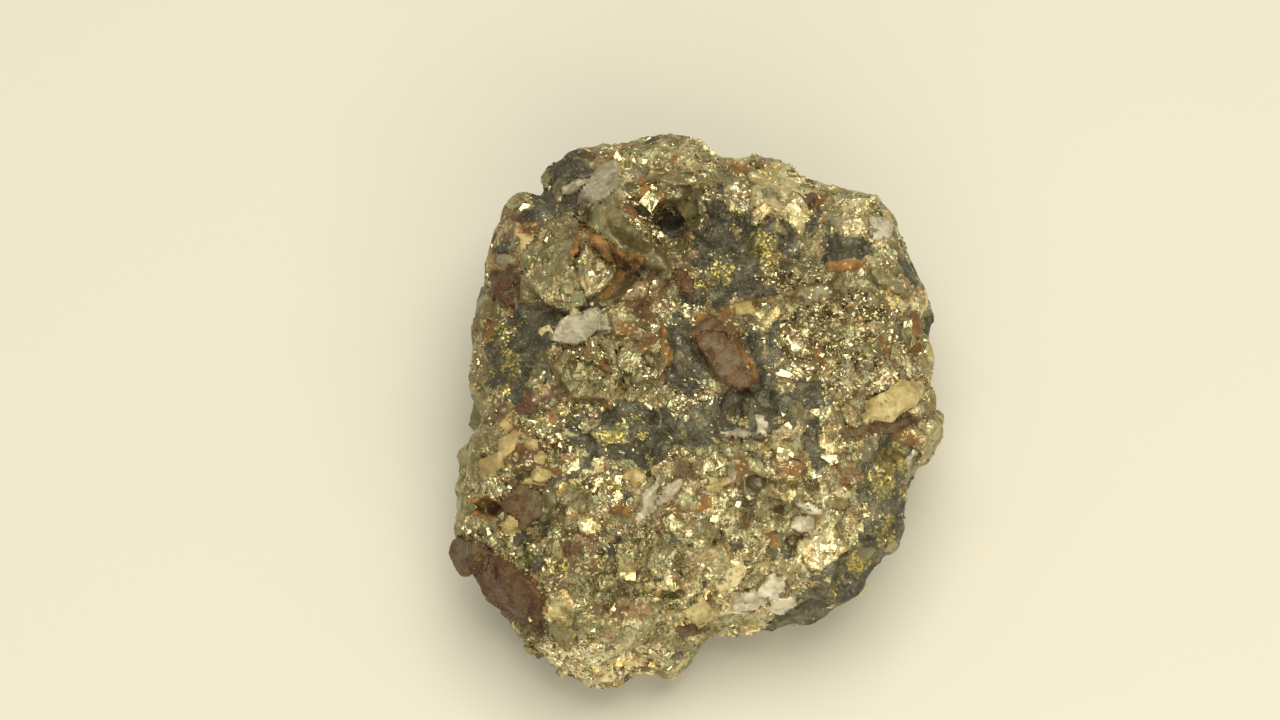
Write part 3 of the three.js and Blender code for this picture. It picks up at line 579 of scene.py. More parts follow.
def paint(points, seen):
    """What each point is made of.

    Gives its mineral, its tone and mortar from 0 to 1, its clast's rise in mm, the number of the
    standing clast it lies in (-1 for none) and how far inside that clast it lies, from 0 to 1.
    """
    broad = soft_offsets(points, BROAD_WAVE, SALTS["broad_wave"])
    fine = soft_offsets(points, FINE_WAVE, SALTS["fine_wave"])
    bent = points + CLAST_BEND[0] * broad + CLAST_BEND[1] * fine
    clast, _, gap, _ = cells(bent, CLAST_SIZE, SALTS["clasts"])
    chip, _, _, chip_middle = cells(points, CHIP_SIZE, SALTS["chips"])
    kinds = cells(bent, HIDDEN_CLAST_SIZE, SALTS["hidden"])[0]
    hidden = pick(kinds, HIDDEN_SHARES, PYRITE)

    u, v = face_place(points + ZONE_BEND[0] * broad + ZONE_BEND[1] * fine)
    chip_u, chip_v = face_place(chip_middle)
    ragged_u = (1 - CHIP_PULL) * u + CHIP_PULL * chip_u
    ragged_v = (1 - CHIP_PULL) * v + CHIP_PULL * chip_v
    face = paint_zones(u, v, ragged_u, ragged_v)
    on_face = seen > ZONES_END + ZONES_RAGGED * broad[:, 2]
    mineral = np.where(on_face, face["mineral"], hidden)
    ground = mineral == PYRITE
    mineral[ground] = pick(clast[ground], CLASTS, PYRITE)

    swap = cell_random(np.floor(chip_middle / CHIP_STEP).astype(np.int64), SALTS["swap"])
    for name, shares in CHIPS.items():
        here = mineral == MINERALS.index(name)
        mineral[here] = pick(swap[here], shares, MINERALS.index(name))
    mortar = np.clip(MORTAR_FILL - gap / MORTAR_WIDTH + MORTAR_RAGGED * fine[:, 0], 0, 1)
    mortar *= np.isin(mineral, [MINERALS.index(name) for name in METALLIC])
    mortar = np.maximum(MORTAR_SHARE * mortar, face["crack"] * on_face)
    step = np.floor(clast * CLAST_STEPS).astype(np.int64)
    tint = cell_random(np.stack([step, step, step], axis=1), SALTS["tint"])
    # Besides each clast's and chip's own tone, the tone holds the broad painted light and shade on the
    # seen side.
    tone = 0.5 * tint + 0.5 * chip + broad_light_and_shade_of(points) * seen + face["shade"] * on_face
    return {
        "mineral": mineral, "tone": np.clip(tone, 0, 1), "mortar": mortar,
        "rise": face["rise"] * on_face, "owner": np.where(on_face, face["owner"], -1),
        "inner": face["inner"]}


# Relief of each mineral over the solid: large crystals, small crystals and fine roughness, in mm.
RELIEF = {
    "pyrite": (0.85, 0.34, 0.03), "plate": (0.25, 0.10, 0.0), "pale_pyrite": (0.35, 0.20, 0.02),
    "glitter": (0.72, 0.52, 0.03), "dark": (0.60, 0.26, 0.03), "copper": (0.60, 0.30, 0.03),
    "jasper": (0.32, 0.22, 0.03), "brown": (0.70, 0.35, 0.03), "rust": (0.40, 0.25, 0.03),
    "quartz": (0.30, 0.20, 0.03), "cream": (0.20, 0.10, 0.01), "olive": (0.14, 0.05, 0.0),
}

# How far a mineral lies above the others, or below them under 0, in millimetres.
STANDS_OUT = {"dark": -0.12}

# Hollows that are deeper than the solid's: u, v, length, width, turn in degrees and depth in mm.
HOLLOWS = {
    "cavity": (-1.9, 19.2, 4.6, 4.2, 10, 1.0),
    "under_blade": (-9.0, 15.0, 6.0, 1.0, -46, 1.0),
    "amber_gap": (-7.0, 13.9, 3.4, 1.2, 50, 1.2),
    "rusty_pit": (-20.5, -9.4, 2.8, 1.7, -10, 0.4),
    "left_gap": (-17.6, -6.2, 4.6, 1.2, 20, 0.9),
    "jasper_side": (0.2, 5.6, 6.6, 0.8, -56, 0.9),
    "band_side": (11.0, -7.2, 1.2, 3.0, 30, 0.8),
    "dark_hole": (5.5, -6.9, 2.0, 1.6, -40, 1.1),
    "crystal_side": (21.2, -1.0, 2.4, 0.7, -60, 0.8),
    "lump_gap": (-20.2, -14.6, 0.8, 4.0, 20, 0.8),
}

# Where the outline lies further out (or in, below 0) than the solid's: u, v, reach and push in mm.
PUSHES = {
    "top_right": (13.0, 24.0, 6.0, -1.2), "top_middle": (7.6, 26.4, 4.5, -1.0),
    "top_left": (-10.6, 27.6, 3.2, -1.3), "left": (-22.3, 3.0, 6.5, 0.8),
    "foot": (-11.0, -26.8, 5.5, 1.0), "low_right": (19.3, -16.2, 3.2, -1.2),
    "right_point": (22.4, -9.6, 2.8, -1.3), "right_knob": (24.2, 8.8, 2.4, -0.7),
    "low_vein": (11.8, -19.4, 5.8, 1.8), "foot_right": (-2.6, -25.6, 3.0, 0.9),
    "right_shoulder": (22.2, 16.1, 3.6, -0.8), "top_dip": (2.8, 26.6, 2.6, -0.8),
    "left_low": (-22.4, -3.2, 3.6, 0.8),
}


def outline_push(points):
    """How far each point moves in the plane of the view, in millimetres."""
    u, v = face_place(points)
    total = np.zeros_like(points)
    for push_u, push_v, reach, push in PUSHES.values():
        away = ((u - push_u) ** 2 + (v - push_v) ** 2) / reach ** 2
        outward = (VIEW_RIGHT * push_u + VIEW_UP * push_v).normalized()
        total += np.outer(push * np.clip(1 - away, 0, 1) ** 1.5, np.array(outward))
    return total


def relief_of(points, painted):
    """How far each point moves along its normal, in millimetres."""
    mineral = painted["mineral"]
    broad, small, fine = by_mineral(RELIEF, mineral).T
    height = by_mineral(STANDS_OUT, mineral) + broad * cells(points, CRYSTAL_SIZE, SALTS["crystals"])[1]
    height += small * cells(points, CHIP_SIZE, SALTS["chips"])[1]
    height += fine * soft_noise(points, FINE_WAVE, SALTS["roughness"])
    return height - CRACK_DEPTH * painted["mortar"]


def plane_shift(points, painted):
    """How far each point moves towards the eye to give each standing clast a flat top, in mm."""
    u, v = face_place(points)
    level = points @ EYE_AXIS
    shift = np.zeros(len(points))
    owner = painted["owner"]
    for index in np.unique(owner[owner >= 0]):
        inside = owner == index
        columns = np.stack([np.ones(inside.sum()), u[inside], v[inside]], axis=1)
        plane = columns @ np.linalg.lstsq(columns, level[inside], rcond=None)[0]
        shift[inside] = np.clip(plane - level[inside], -FLATTEN, FLATTEN)
    return shift * painted["inner"]


def depth_of(points):
    """How far each point sinks away from the eye in a hollow, in millimetres."""
    u, v = face_place(points)
    depth = np.zeros(len(points))
    for *place, deepest in HOLLOWS.values():
        a, b = zone_frame(place, u, v)
        depth = np.maximum(depth, deepest * np.clip(1 - (a * a + b * b) ** 2, 0, 1))
    return depth


# Meshes.

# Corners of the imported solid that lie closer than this, in metres, are one.
SAME_CORNER = 0.002 * MM

# Below this seen share the surface counts as hidden, and is thinned.
HIDDEN_BELOW = 0.3

# Over how many rounds of neighbours a mean is taken: for how the surface faces, for the smoothed
# rim, and for the level that hollows lie under.
FACING_ROUNDS = 20
RIM_ROUNDS = 14
HOLLOW_ROUNDS = 60


def plain_mesh(piece, name):
    """The piece's evaluated mesh, with its modifiers made part of it."""
    depsgraph = bpy.context.evaluated_depsgraph_get()
    mesh = bpy.data.meshes.new_from_object(piece.evaluated_get(depsgraph), depsgraph=depsgraph)
    mesh.name = name
    return mesh


def linked(name, data):
    """A new object in the scene."""
    piece = bpy.data.objects.new(name, data)
    bpy.context.scene.collection.objects.link(piece)
    return piece


def lump_piece(name, mesh):
    """A finished piece of the lump."""
    piece = linked(name, mesh)
    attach(piece, "root")
    return piece


def vertex_vectors(mesh, name):
    """The place or the normal of each vertex, one row for each."""
    values = np.empty(len(mesh.vertices) * 3)
    mesh.vertices.foreach_get(name, values)
    return values.reshape(-1, 3)


def vertex_points(mesh):
    """The places of the vertices, in millimetres."""
    return vertex_vectors(mesh, "co") / MM


def neighbour_mean(mesh, values, rounds):
    """Values at the vertices, each replaced by the mean over its edges, some rounds over."""
    ends = np.empty(len(mesh.edges) * 2, np.int32)
    mesh.edges.foreach_get("vertices", ends)
    first, second = ends.reshape(-1, 2).T
    count = np.bincount(ends, minlength=len(values)).astype(float)
    for _ in range(rounds):
        total = np.bincount(first, values[second], len(values))
        total += np.bincount(second, values[first], len(values))
        values = total / count
    return values


def facing_of(mesh):
    """How much the surface round each vertex faces the eye, from -1 to 1."""
    return neighbour_mean(mesh, vertex_vectors(mesh, "normal") @ EYE_AXIS, FACING_ROUNDS)


def face_mean(mesh, values):
    """The mean of the vertices' values over each face."""
    corners = np.empty(len(mesh.loops), np.int32)
    mesh.loops.foreach_get("vertex_index", corners)
    starts = np.empty(len(mesh.polygons), np.int32)
    mesh.polygons.foreach_get("loop_start", starts)
    counts = np.diff(starts, append=len(corners))
    return (np.add.reduceat(values[corners], starts, axis=0).T / counts).T


def store(mesh, name, values):
    """Stores a number at each vertex, for the materials and the grains to read."""
    attribute = mesh.attributes.new(name, "FLOAT", "POINT")
    attribute.data.foreach_set("value", np.asarray(values, np.float32))


def remeshed_lump(voxel):
    """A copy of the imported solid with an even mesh, close to the solid's surface."""
    work = bmesh.new()
    work.from_mesh(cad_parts["ore_lump"].data)
    bmesh.ops.remove_doubles(work, verts=work.verts, dist=SAME_CORNER)
    mesh = bpy.data.meshes.new("lump_copy")
    work.to_mesh(mesh)
    work.free()
    copy = linked("lump_copy", mesh)
    even = copy.modifiers.new("even", "REMESH")
    even.mode = "VOXEL"
    even.voxel_size = voxel
    result = plain_mesh(copy, "even_lump")
    bpy.data.objects.remove(copy)
    return result


def thinned(mesh, share):
    """The mesh with only a share of its triangles left, most of them on the seen side."""
    copy = linked("lump_copy", mesh)
    group = copy.vertex_groups.new(name="hidden")
    hidden = np.nonzero(seen_share(vertex_points(mesh), facing_of(mesh)) < HIDDEN_BELOW)[0]
    group.add(hidden.tolist(), 1.0, "REPLACE")
    thin = copy.modifiers.new("thin", "DECIMATE")
    thin.ratio = share
    thin.vertex_group = group.name
    result = plain_mesh(copy, "ore_body")
    bpy.data.objects.remove(copy)
    return result


# The surface of the body.

# The rim, where the surface turns away from the eye, is smoothed by this share. Facing the eye by
# this much, the surface has about a third of that left. Relief is weaker on the rim by this share.
RIM_SMOOTHING = 0.75
RIM_FACING = 0.28
RIM_FLATTENING = 0.5

# Where the rim keeps its broken relief: u, v, length, width and turn. The area fades at its edge,
# and takes this share of the smoothing away.
ROUGH_RIM = (-9.0, -24.5, 24.0, 11.0, 0)
ROUGH_FADE = 1.6
ROUGH_SHARE = 0.75

# Up to this height above the table, in millimetres, the relief and the pushes fade in.
BASE_HEIGHT = 0.6

# A hollow of this depth, in millimetres, is as dark with painted shade as one can be.
HOLLOW_DEPTH = 1.2

# How thickly each mineral is set with blocks, sparkling chips and copper grains, from 0 to 1.
COVERS = {
    "grain_cover": {
        "pyrite": 0.18, "pale_pyrite": 0.06, "glitter": 0.22, "brown": 0.08, "plate": 0.02},
    "chip_cover": {
        "pyrite": 0.26, "pale_pyrite": 0.15, "glitter": 0.55, "brown": 0.14, "plate": 0.08,
        "dark": 0.03, "copper": 0.05, "jasper": 0.01},
    "copper_cover": {"copper": 0.6, "dark": 0.03},
}

# Grains keep this far above the table, and get fewer this close to the sides of the solid's box,
# in millimetres. In mortar and on the rim there are fewer by these shares.
GRAIN_FLOOR = 1.2
GRAIN_ROOM = 0.5
BARE_MORTAR = 0.6
BARE_RIM = 0.7


def rim_share(points, facing):
    """How strongly each point of the rim is smoothed, from 0 to 1."""
    a, b = zone_frame(ROUGH_RIM, *face_place(points))
    rough = np.clip(ROUGH_FADE - ROUGH_FADE * (a * a + b * b), 0, 1)
    return RIM_SMOOTHING * np.exp(-(facing / RIM_FACING) ** 2) * (1 - ROUGH_SHARE * rough)


def store_looks(mesh, points, moved, painted, rim):
    """Stores what the materials and the grains read, from the places before and after the relief."""
    level = moved @ EYE_AXIS
    hollow = neighbour_mean(mesh, level, HOLLOW_ROUNDS) - level
    store(mesh, "tone", painted["tone"])
    store(mesh, "mortar", painted["mortar"])
    store(mesh, "hollow", np.clip(hollow / HOLLOW_DEPTH, 0, 1))
    room = np.minimum(CAD_HIGH[:2] - moved[:, :2], moved[:, :2] - CAD_LOW[:2]).min(1)
    bedded = np.clip(points[:, 2] - GRAIN_FLOOR, 0, 1) * np.clip(room / GRAIN_ROOM, 0, 1)
    for label, shares in COVERS.items():
        cover = by_mineral(shares, painted["mineral"]) * bedded
        store(mesh, label, cover * (1 - BARE_MORTAR * painted["mortar"]) * (1 - BARE_RIM * rim))


def colour_faces(mesh, points, seen):
    """Gives each face its mineral's material, with flat shading on the metallic ones."""
    mineral = paint(face_mean(mesh, points), face_mean(mesh, seen))["mineral"]
    mesh.polygons.foreach_set("material_index", mineral.astype(np.int32))
    smooth = ~np.isin(mineral, [MINERALS.index(name) for name in (*METALLIC, "glitter")])
    mesh.polygons.foreach_set("use_smooth", smooth)
    mesh.update()


def shaped_lump(settings):
    """The lump's surface with its relief, minerals and the values that its materials read."""
    mesh = thinned(remeshed_lump(settings.voxel), settings.kept)
    points = vertex_points(mesh)
    normals = vertex_vectors(mesh, "normal")
    facing = facing_of(mesh)
    seen = seen_share(points, facing)
    rim = rim_share(points, facing)
    rounded = np.stack([neighbour_mean(mesh, points[:, axis], RIM_ROUNDS) for axis in range(3)], axis=1)
    points += (rounded - points) * rim[:, None]
    raised = np.clip(points[:, 2] / BASE_HEIGHT, 0, 1)
    points += outline_push(points) * raised[:, None]
    painted = paint(points, seen)
    relief = relief_of(points, painted) * settings.relief * (1 - RIM_FLATTENING * rim)
    moved = points + normals * ((relief + painted["rise"]) * raised)[:, None]
    moved += np.outer(plane_shift(points, painted) * raised - depth_of(points) * seen, EYE_AXIS)
    moved[:, 2] = np.maximum(moved[:, 2], 0)
    mesh.vertices.foreach_set("co", (moved * MM).ravel())
    mesh.update()
    store_looks(mesh, points, moved, painted, rim)
    colour_faces(mesh, points, seen)
    return mesh


# Node helpers.

MID_COLOUR = (0.5, 0.5, 0.5)
SOCKET_KINDS = {"value": "NodeSocketFloat", "colour": "NodeSocketColor", "vector": "NodeSocketVector"}


def feed(tree, socket, value):
    """Links a socket to another one, or sets its value. A colour is given without its alpha."""
    if isinstance(value, bpy.types.NodeSocket):
        tree.links.new(value, socket)
    elif socket.type == "RGBA":
        socket.default_value = (*value, 1)
    else:
        socket.default_value = value


def add_node(tree, kind, inputs=None, **settings):
    """A new node, with its settings and its inputs, each a value or a socket to link."""
    made = tree.nodes.new(kind)
    for key, value in settings.items():
        setattr(made, key, value)
    for key, value in (inputs or {}).items():
        feed(tree, made.inputs[key], value)
    return made


def math_node(tree, operation, *values, clamp=False):
    """A sum of one, two or three numbers."""
    return add_node(
        tree, "ShaderNodeMath", dict(enumerate(values)), operation=operation,
        use_clamp=clamp).outputs[0]


def vector_node(tree, operation, *values):
    """A vector sum. The second value of SCALE is a single number."""
    keys = (0, "Scale") if operation == "SCALE" else (0, 1)
    return add_node(
        tree, "ShaderNodeVectorMath", dict(zip(keys, values)), operation=operation).outputs[0]


def mix_colour(tree, share, first, second, blend="MIX"):
    """Two colours mixed by a share from 0 to 1."""
    return add_node(
        tree, "ShaderNodeMix", {0: share, 6: first, 7: second}, data_type="RGBA",
        blend_type=blend).outputs[2]


def remap(tree, value, low, high, to_low=0.0, to_high=1.0):
    """A value carried smoothly from one range to another."""
    return add_node(
        tree, "ShaderNodeMapRange", {0: value, 1: low, 2: high, 3: to_low, 4: to_high},
        interpolation_type="SMOOTHSTEP").outputs[0]


def noise_node(tree, place, scale, detail, **inputs):
    """A noise texture with this many waves to a unit of the place."""
    return add_node(
        tree, "ShaderNodeTexNoise",
        {"Vector": place, "Scale": scale, "Detail": detail, **inputs})


def cell_texture(tree, place, size):
    """A texture of cells of one size, each with a random colour."""
    density = math_node(tree, "DIVIDE", 1.0, size)
    return add_node(tree, "ShaderNodeTexVoronoi", {"Vector": place, "Scale": density}).outputs["Color"]


def parts_of(tree, colour):
    """The three numbers of a colour."""
    return add_node(tree, "ShaderNodeSeparateColor", {0: colour}).outputs


def stored(tree, name):
    """A value that is stored in the mesh."""
    return add_node(tree, "ShaderNodeAttribute", attribute_name=name).outputs["Fac"]


def millimetres(tree):
    """Object coordinates in millimetres."""
    place = add_node(tree, "ShaderNodeTexCoord").outputs["Object"]
    return vector_node(tree, "SCALE", place, 1 / MM)


# Effects that more than one material uses. Noise scales in them are waves to a millimetre.

def shader_group(name, inputs, outputs):
    """An empty node group with the given sockets, and its two end nodes' sockets."""
    tree = bpy.data.node_groups.new(name, "ShaderNodeTree")
    for label, (kind, value) in inputs.items():
        socket = tree.interface.new_socket(label, in_out="INPUT", socket_type=SOCKET_KINDS[kind])
        socket.default_value = (*value, 1) if kind == "colour" else value
    for label, kind in outputs.items():
        tree.interface.new_socket(label, in_out="OUTPUT", socket_type=SOCKET_KINDS[kind])
    return tree, tree.nodes.new("NodeGroupInput").outputs, tree.nodes.new("NodeGroupOutput").inputs


def facet_group():
    """Flat facets of two sizes, each turned its own way, with a random tone for each."""
    tree, given, result = shader_group(
        "Broken Facets",
        {"Size": ("value", 0.8), "Tilt": ("value", 0.6), "Fine Size": ("value", 0.3),
         "Fine Tilt": ("value", 0.4), "Stretch": ("vector", (1.0, 1.0, 1.0))},
        {"Normal": "vector", "Tone": "value", "Fine Tone": "value"})
    place = millimetres(tree)
    wave = noise_node(tree, place, 1.1, 2.0).outputs["Color"]
    bend = vector_node(tree, "SCALE", vector_node(tree, "SUBTRACT", wave, MID_COLOUR), 0.4)
    bent = vector_node(tree, "MULTIPLY", vector_node(tree, "ADD", place, bend), given["Stretch"])
    normal = add_node(tree, "ShaderNodeNewGeometry").outputs["Normal"]
    for size, tilt, tone in (("Size", "Tilt", "Tone"), ("Fine Size", "Fine Tilt", "Fine Tone")):
        facets = cell_texture(tree, bent, given[size])
        lean = vector_node(tree, "SUBTRACT", facets, MID_COLOUR)
        normal = vector_node(tree, "ADD", normal, vector_node(tree, "SCALE", lean, given[tilt]))
        feed(tree, result[tone], parts_of(tree, facets)[0])
    feed(tree, result["Normal"], vector_node(tree, "NORMALIZE", normal))
    return tree


def mottle_group():
    """Three colours in soft, uneven patches that drift in hue, and where the surface is dull."""
    tree, given, result = shader_group(
        "Mottle",
        {"Low": ("colour", (0.1, 0.1, 0.1)), "Middle": ("colour", (0.3, 0.3, 0.3)),
         "High": ("colour", (0.6, 0.6, 0.6)), "Size": ("value", 1.5), "Shift": ("value", 0.0),
         "Hue": ("value", 0.0)},
        {"Colour": "colour", "Dull": "value"})
    place = millimetres(tree)
    density = math_node(tree, "DIVIDE", 1.0, given["Size"])
    patches = noise_node(tree, place, density, 6.0, Roughness=0.62, Distortion=0.6)
    share = math_node(tree, "ADD", patches.outputs[0], given["Shift"])
    lower = mix_colour(tree, remap(tree, share, 0.32, 0.52), given["Low"], given["Middle"])
    upper = mix_colour(tree, remap(tree, share, 0.52, 0.72), lower, given["High"])
    drift = remap(tree, noise_node(tree, place, 0.85, 4.0).outputs[0], 0.38, 0.62)
    tint = mix_colour(tree, drift, (0.95, 1.0, 0.92), (1.0, 0.87, 0.69))
    feed(tree, result["Colour"], mix_colour(tree, given["Hue"], upper, tint, "MULTIPLY"))
    film = noise_node(tree, place, 0.33, 4.0).outputs[0]
    feed(tree, result["Dull"], remap(tree, film, 0.44, 0.58))
    return tree


def fleck_group():
    """Scattered angular flecks of another mineral, in crowds."""
    tree, given, result = shader_group(
        "Flecks", {"Size": ("value", 0.5), "Cover": ("value", 0.2)}, {"Mask": "value"})
    place = millimetres(tree)
    chips = parts_of(tree, cell_texture(tree, place, given["Size"]))
    crowd = remap(tree, noise_node(tree, place, 0.45, 2.0).outputs[0], 0.3, 0.7, 0.3, 1.7)
    crowded = math_node(tree, "MULTIPLY", given["Cover"], crowd)
    feed(tree, result["Mask"], math_node(tree, "LESS_THAN", chips[0], crowded))
    return tree


def stain_and_hollow_shade_group():
    """Iron stain in the mortar between clasts and in patches, and painted shade in the hollows."""
    tree, given, result = shader_group(
        "Iron Stain and Hollow Shade",
        {"Colour": ("colour", (0.5, 0.5, 0.5)), "Amount": ("value", 0.3)},
        {"Colour": "colour", "Mask": "value"})
    place = millimetres(tree)
    patch = remap(tree, noise_node(tree, place, 0.42, 5.0).outputs[0], 0.52, 0.66)
    stained = math_node(tree, "MAXIMUM", patch, stored(tree, "mortar"))
    stained = math_node(tree, "MULTIPLY", stained, given["Amount"], clamp=True)
    hue = remap(tree, noise_node(tree, place, 0.7, 3.0).outputs[0], 0.4, 0.62)
    rust = mix_colour(tree, hue, (0.10, 0.06, 0.03), (0.32, 0.15, 0.052))
    coloured = mix_colour(tree, stained, given["Colour"], rust)
    # Painted shade: hollows are mixed up to half way towards near black, and the mask takes them in
    # too.
    shade = math_node(tree, "MULTIPLY", stored(tree, "hollow"), 0.5)
    feed(tree, result["Colour"], mix_colour(tree, shade, coloured, (0.05, 0.04, 0.025)))
    feed(tree, result["Mask"], math_node(tree, "MAXIMUM", stained, shade))
    return tree


GROUPS = {
    "Broken Facets": facet_group, "Mottle": mottle_group, "Flecks": fleck_group,
    "Iron Stain and Hollow Shade": stain_and_hollow_shade_group,
}


def use_group(tree, name, **inputs):
    """Places a shared group, which is built the first time. Its inputs' names have _ for a space."""
    made = tree.nodes.new("ShaderNodeGroup")
    made.node_tree = bpy.data.node_groups.get(name) or GROUPS[name]()
    for label, value in inputs.items():
        feed(tree, made.inputs[label.replace("_", " ")], value)
    return made.outputs


# Materials.

# How each mineral looks: three colours, metal, roughness low and high, size and tilt of the facets
# and of the fine ones, the colour, metal, size and cover of its flecks, and how much it is stained
# and dulled. Some also have their gloss, how far their hue drifts and how the facets are stretched.
LOOKS = {
    "pyrite": {
        "colours": ((0.27, 0.25, 0.14), (0.50, 0.47, 0.29), (0.84, 0.81, 0.56)),
        "metal": 0.85, "rough": (0.18, 0.38), "facet": (0.9, 0.45), "fine": (0.19, 0.9),
        "fleck": ((0.20, 0.16, 0.085), 0.1, 0.3, 0.14), "stain": 0.56, "dull": 0.26},
    "plate": {
        "colours": ((0.25, 0.225, 0.12), (0.385, 0.355, 0.21), (0.61, 0.575, 0.38)),
        "metal": 0.75, "rough": (0.24, 0.42), "facet": (1.6, 0.25), "fine": (0.2, 0.55),
        "fleck": ((0.22, 0.18, 0.10), 0.2, 0.22, 0.12), "stain": 0.3, "dull": 0.2,
        "stretch": (0.8, 0.5, 1.0)},
    "pale_pyrite": {
        "colours": ((0.58, 0.51, 0.27), (0.82, 0.74, 0.45), (0.94, 0.89, 0.65)),
        "metal": 0.8, "rough": (0.26, 0.42), "facet": (1.2, 0.4), "fine": (0.22, 0.5),
        "fleck": ((0.34, 0.26, 0.13), 0.3, 0.3, 0.06), "stain": 0.35, "dull": 0.14},
    "glitter": {
        "colours": ((0.28, 0.235, 0.135), (0.60, 0.53, 0.34), (0.95, 0.87, 0.63)),
        "metal": 0.95, "rough": (0.12, 0.30), "facet": (0.6, 1.0), "fine": (0.18, 1.1),
        "fleck": ((0.17, 0.135, 0.075), 0.0, 0.28, 0.18), "stain": 0.3, "dull": 0.05,
        "stretch": (0.55, 0.8, 1.0)},
    "dark": {
        "colours": ((0.056, 0.054, 0.039), (0.098, 0.093, 0.065), (0.182, 0.172, 0.120)),
        "metal": 0.3, "rough": (0.32, 0.55), "facet": (0.8, 0.45), "fine": (0.2, 0.75),
        "fleck": ((0.38, 0.33, 0.18), 1.0, 0.2, 0.05), "stain": 0.05, "dull": 0.15},
    "copper": {
        "colours": ((0.082, 0.074, 0.037), (0.18, 0.158, 0.066), (0.33, 0.285, 0.108)),
        "metal": 0.4, "rough": (0.35, 0.55), "facet": (0.6, 0.4), "fine": (0.25, 0.5),
        "fleck": ((0.58, 0.49, 0.15), 1.0, 0.22, 0.24), "stain": 0.05, "dull": 0.1},
    "jasper": {
        "colours": ((0.082, 0.037, 0.018), (0.118, 0.076, 0.041), (0.144, 0.114, 0.068)),
        "metal": 0.0, "rough": (0.36, 0.58), "facet": (0.8, 0.35), "fine": (0.2, 0.65),
        "fleck": ((0.19, 0.125, 0.06), 0.2, 0.2, 0.07), "stain": 0.2, "dull": 0.1, "gloss": 0.3},
    "brown": {
        "colours": ((0.125, 0.080, 0.040), (0.22, 0.155, 0.083), (0.38, 0.30, 0.17)),
        "metal": 0.1, "rough": (0.4, 0.6), "facet": (0.8, 0.45), "fine": (0.3, 0.45),
        "fleck": ((0.60, 0.50, 0.28), 0.9, 0.3, 0.16), "stain": 0.5, "dull": 0.1},
    "rust": {
        "colours": ((0.115, 0.066, 0.026), (0.195, 0.105, 0.034), (0.32, 0.170, 0.048)),
        "metal": 0.0, "rough": (0.45, 0.7), "facet": (0.7, 0.25), "fine": (0.25, 0.3),
        "fleck": ((0.5, 0.4, 0.2), 0.8, 0.25, 0.08), "stain": 0.2, "dull": 0.1, "gloss": 0.35},
    "quartz": {
        "colours": ((0.245, 0.22, 0.15), (0.385, 0.35, 0.25), (0.65, 0.60, 0.475)),
        "metal": 0.0, "rough": (0.25, 0.45), "facet": (2.6, 0.2), "fine": (0.25, 0.4),
        "fleck": ((0.22, 0.20, 0.15), 0.1, 0.5, 0.05), "stain": 0.15, "dull": 0.1, "drift": 0.3},
    "cream": {
        "colours": ((0.31, 0.235, 0.09), (0.45, 0.365, 0.155), (0.62, 0.545, 0.28)),
        "metal": 0.0, "rough": (0.42, 0.6), "facet": (1.4, 0.15), "fine": (0.35, 0.2),
        "fleck": ((0.32, 0.21, 0.10), 0.0, 0.35, 0.04), "stain": 0.15, "dull": 0.1, "drift": 0.3},
    "olive": {
        "colours": ((0.11, 0.095, 0.045), (0.18, 0.16, 0.082), (0.32, 0.29, 0.16)),
        "metal": 0.3, "rough": (0.2, 0.36), "facet": (2.0, 0.2), "fine": (0.5, 0.16),
        "fleck": ((0.5, 0.46, 0.26), 1.0, 0.3, 0.06), "stain": 0.25, "dull": 0.1},
}

MOTTLE_SIZE = 1.6
HUE_DRIFT = 0.8
GLOSS = 0.5
NO_STRETCH = (1, 1, 1)

# How far a clast's and a facet's own tone shifts the mottle, and how much rougher stain and the
# hollows' painted shade make it.
CLAST_SHIFT = 0.13
FACET_SHIFT = 0.07
STAIN_AND_SHADE_ROUGHNESS = 0.25


# Colours of the chalcopyrite grains and of the bright faces, from the lowest tone to the highest.
COPPER_COLOURS = ((0.26, 0.22, 0.08), (0.52, 0.45, 0.16), (0.84, 0.74, 0.30))
# The bright faces go from pale brass to a red-gold, which is a painted reflection of a warm lamp.
FLASH_COLOURS = ((0.90, 0.80, 0.42), (0.90, 0.68, 0.32), (0.90, 0.56, 0.23))

# The least and the most roughness of the grains' fine facets.
PYRITE_ROUGHNESS = (0.16, 0.42)
COPPER_ROUGHNESS = (0.22, 0.45)
FLASH_ROUGHNESS = (0.26, 0.42)


def new_material(name):
    """A material with nothing but its Principled BSDF and output."""
    material = bpy.data.materials.new(name)
    material.use_nodes = True
    tree = material.node_tree
    return material, tree, tree.nodes["Principled BSDF"].inputs


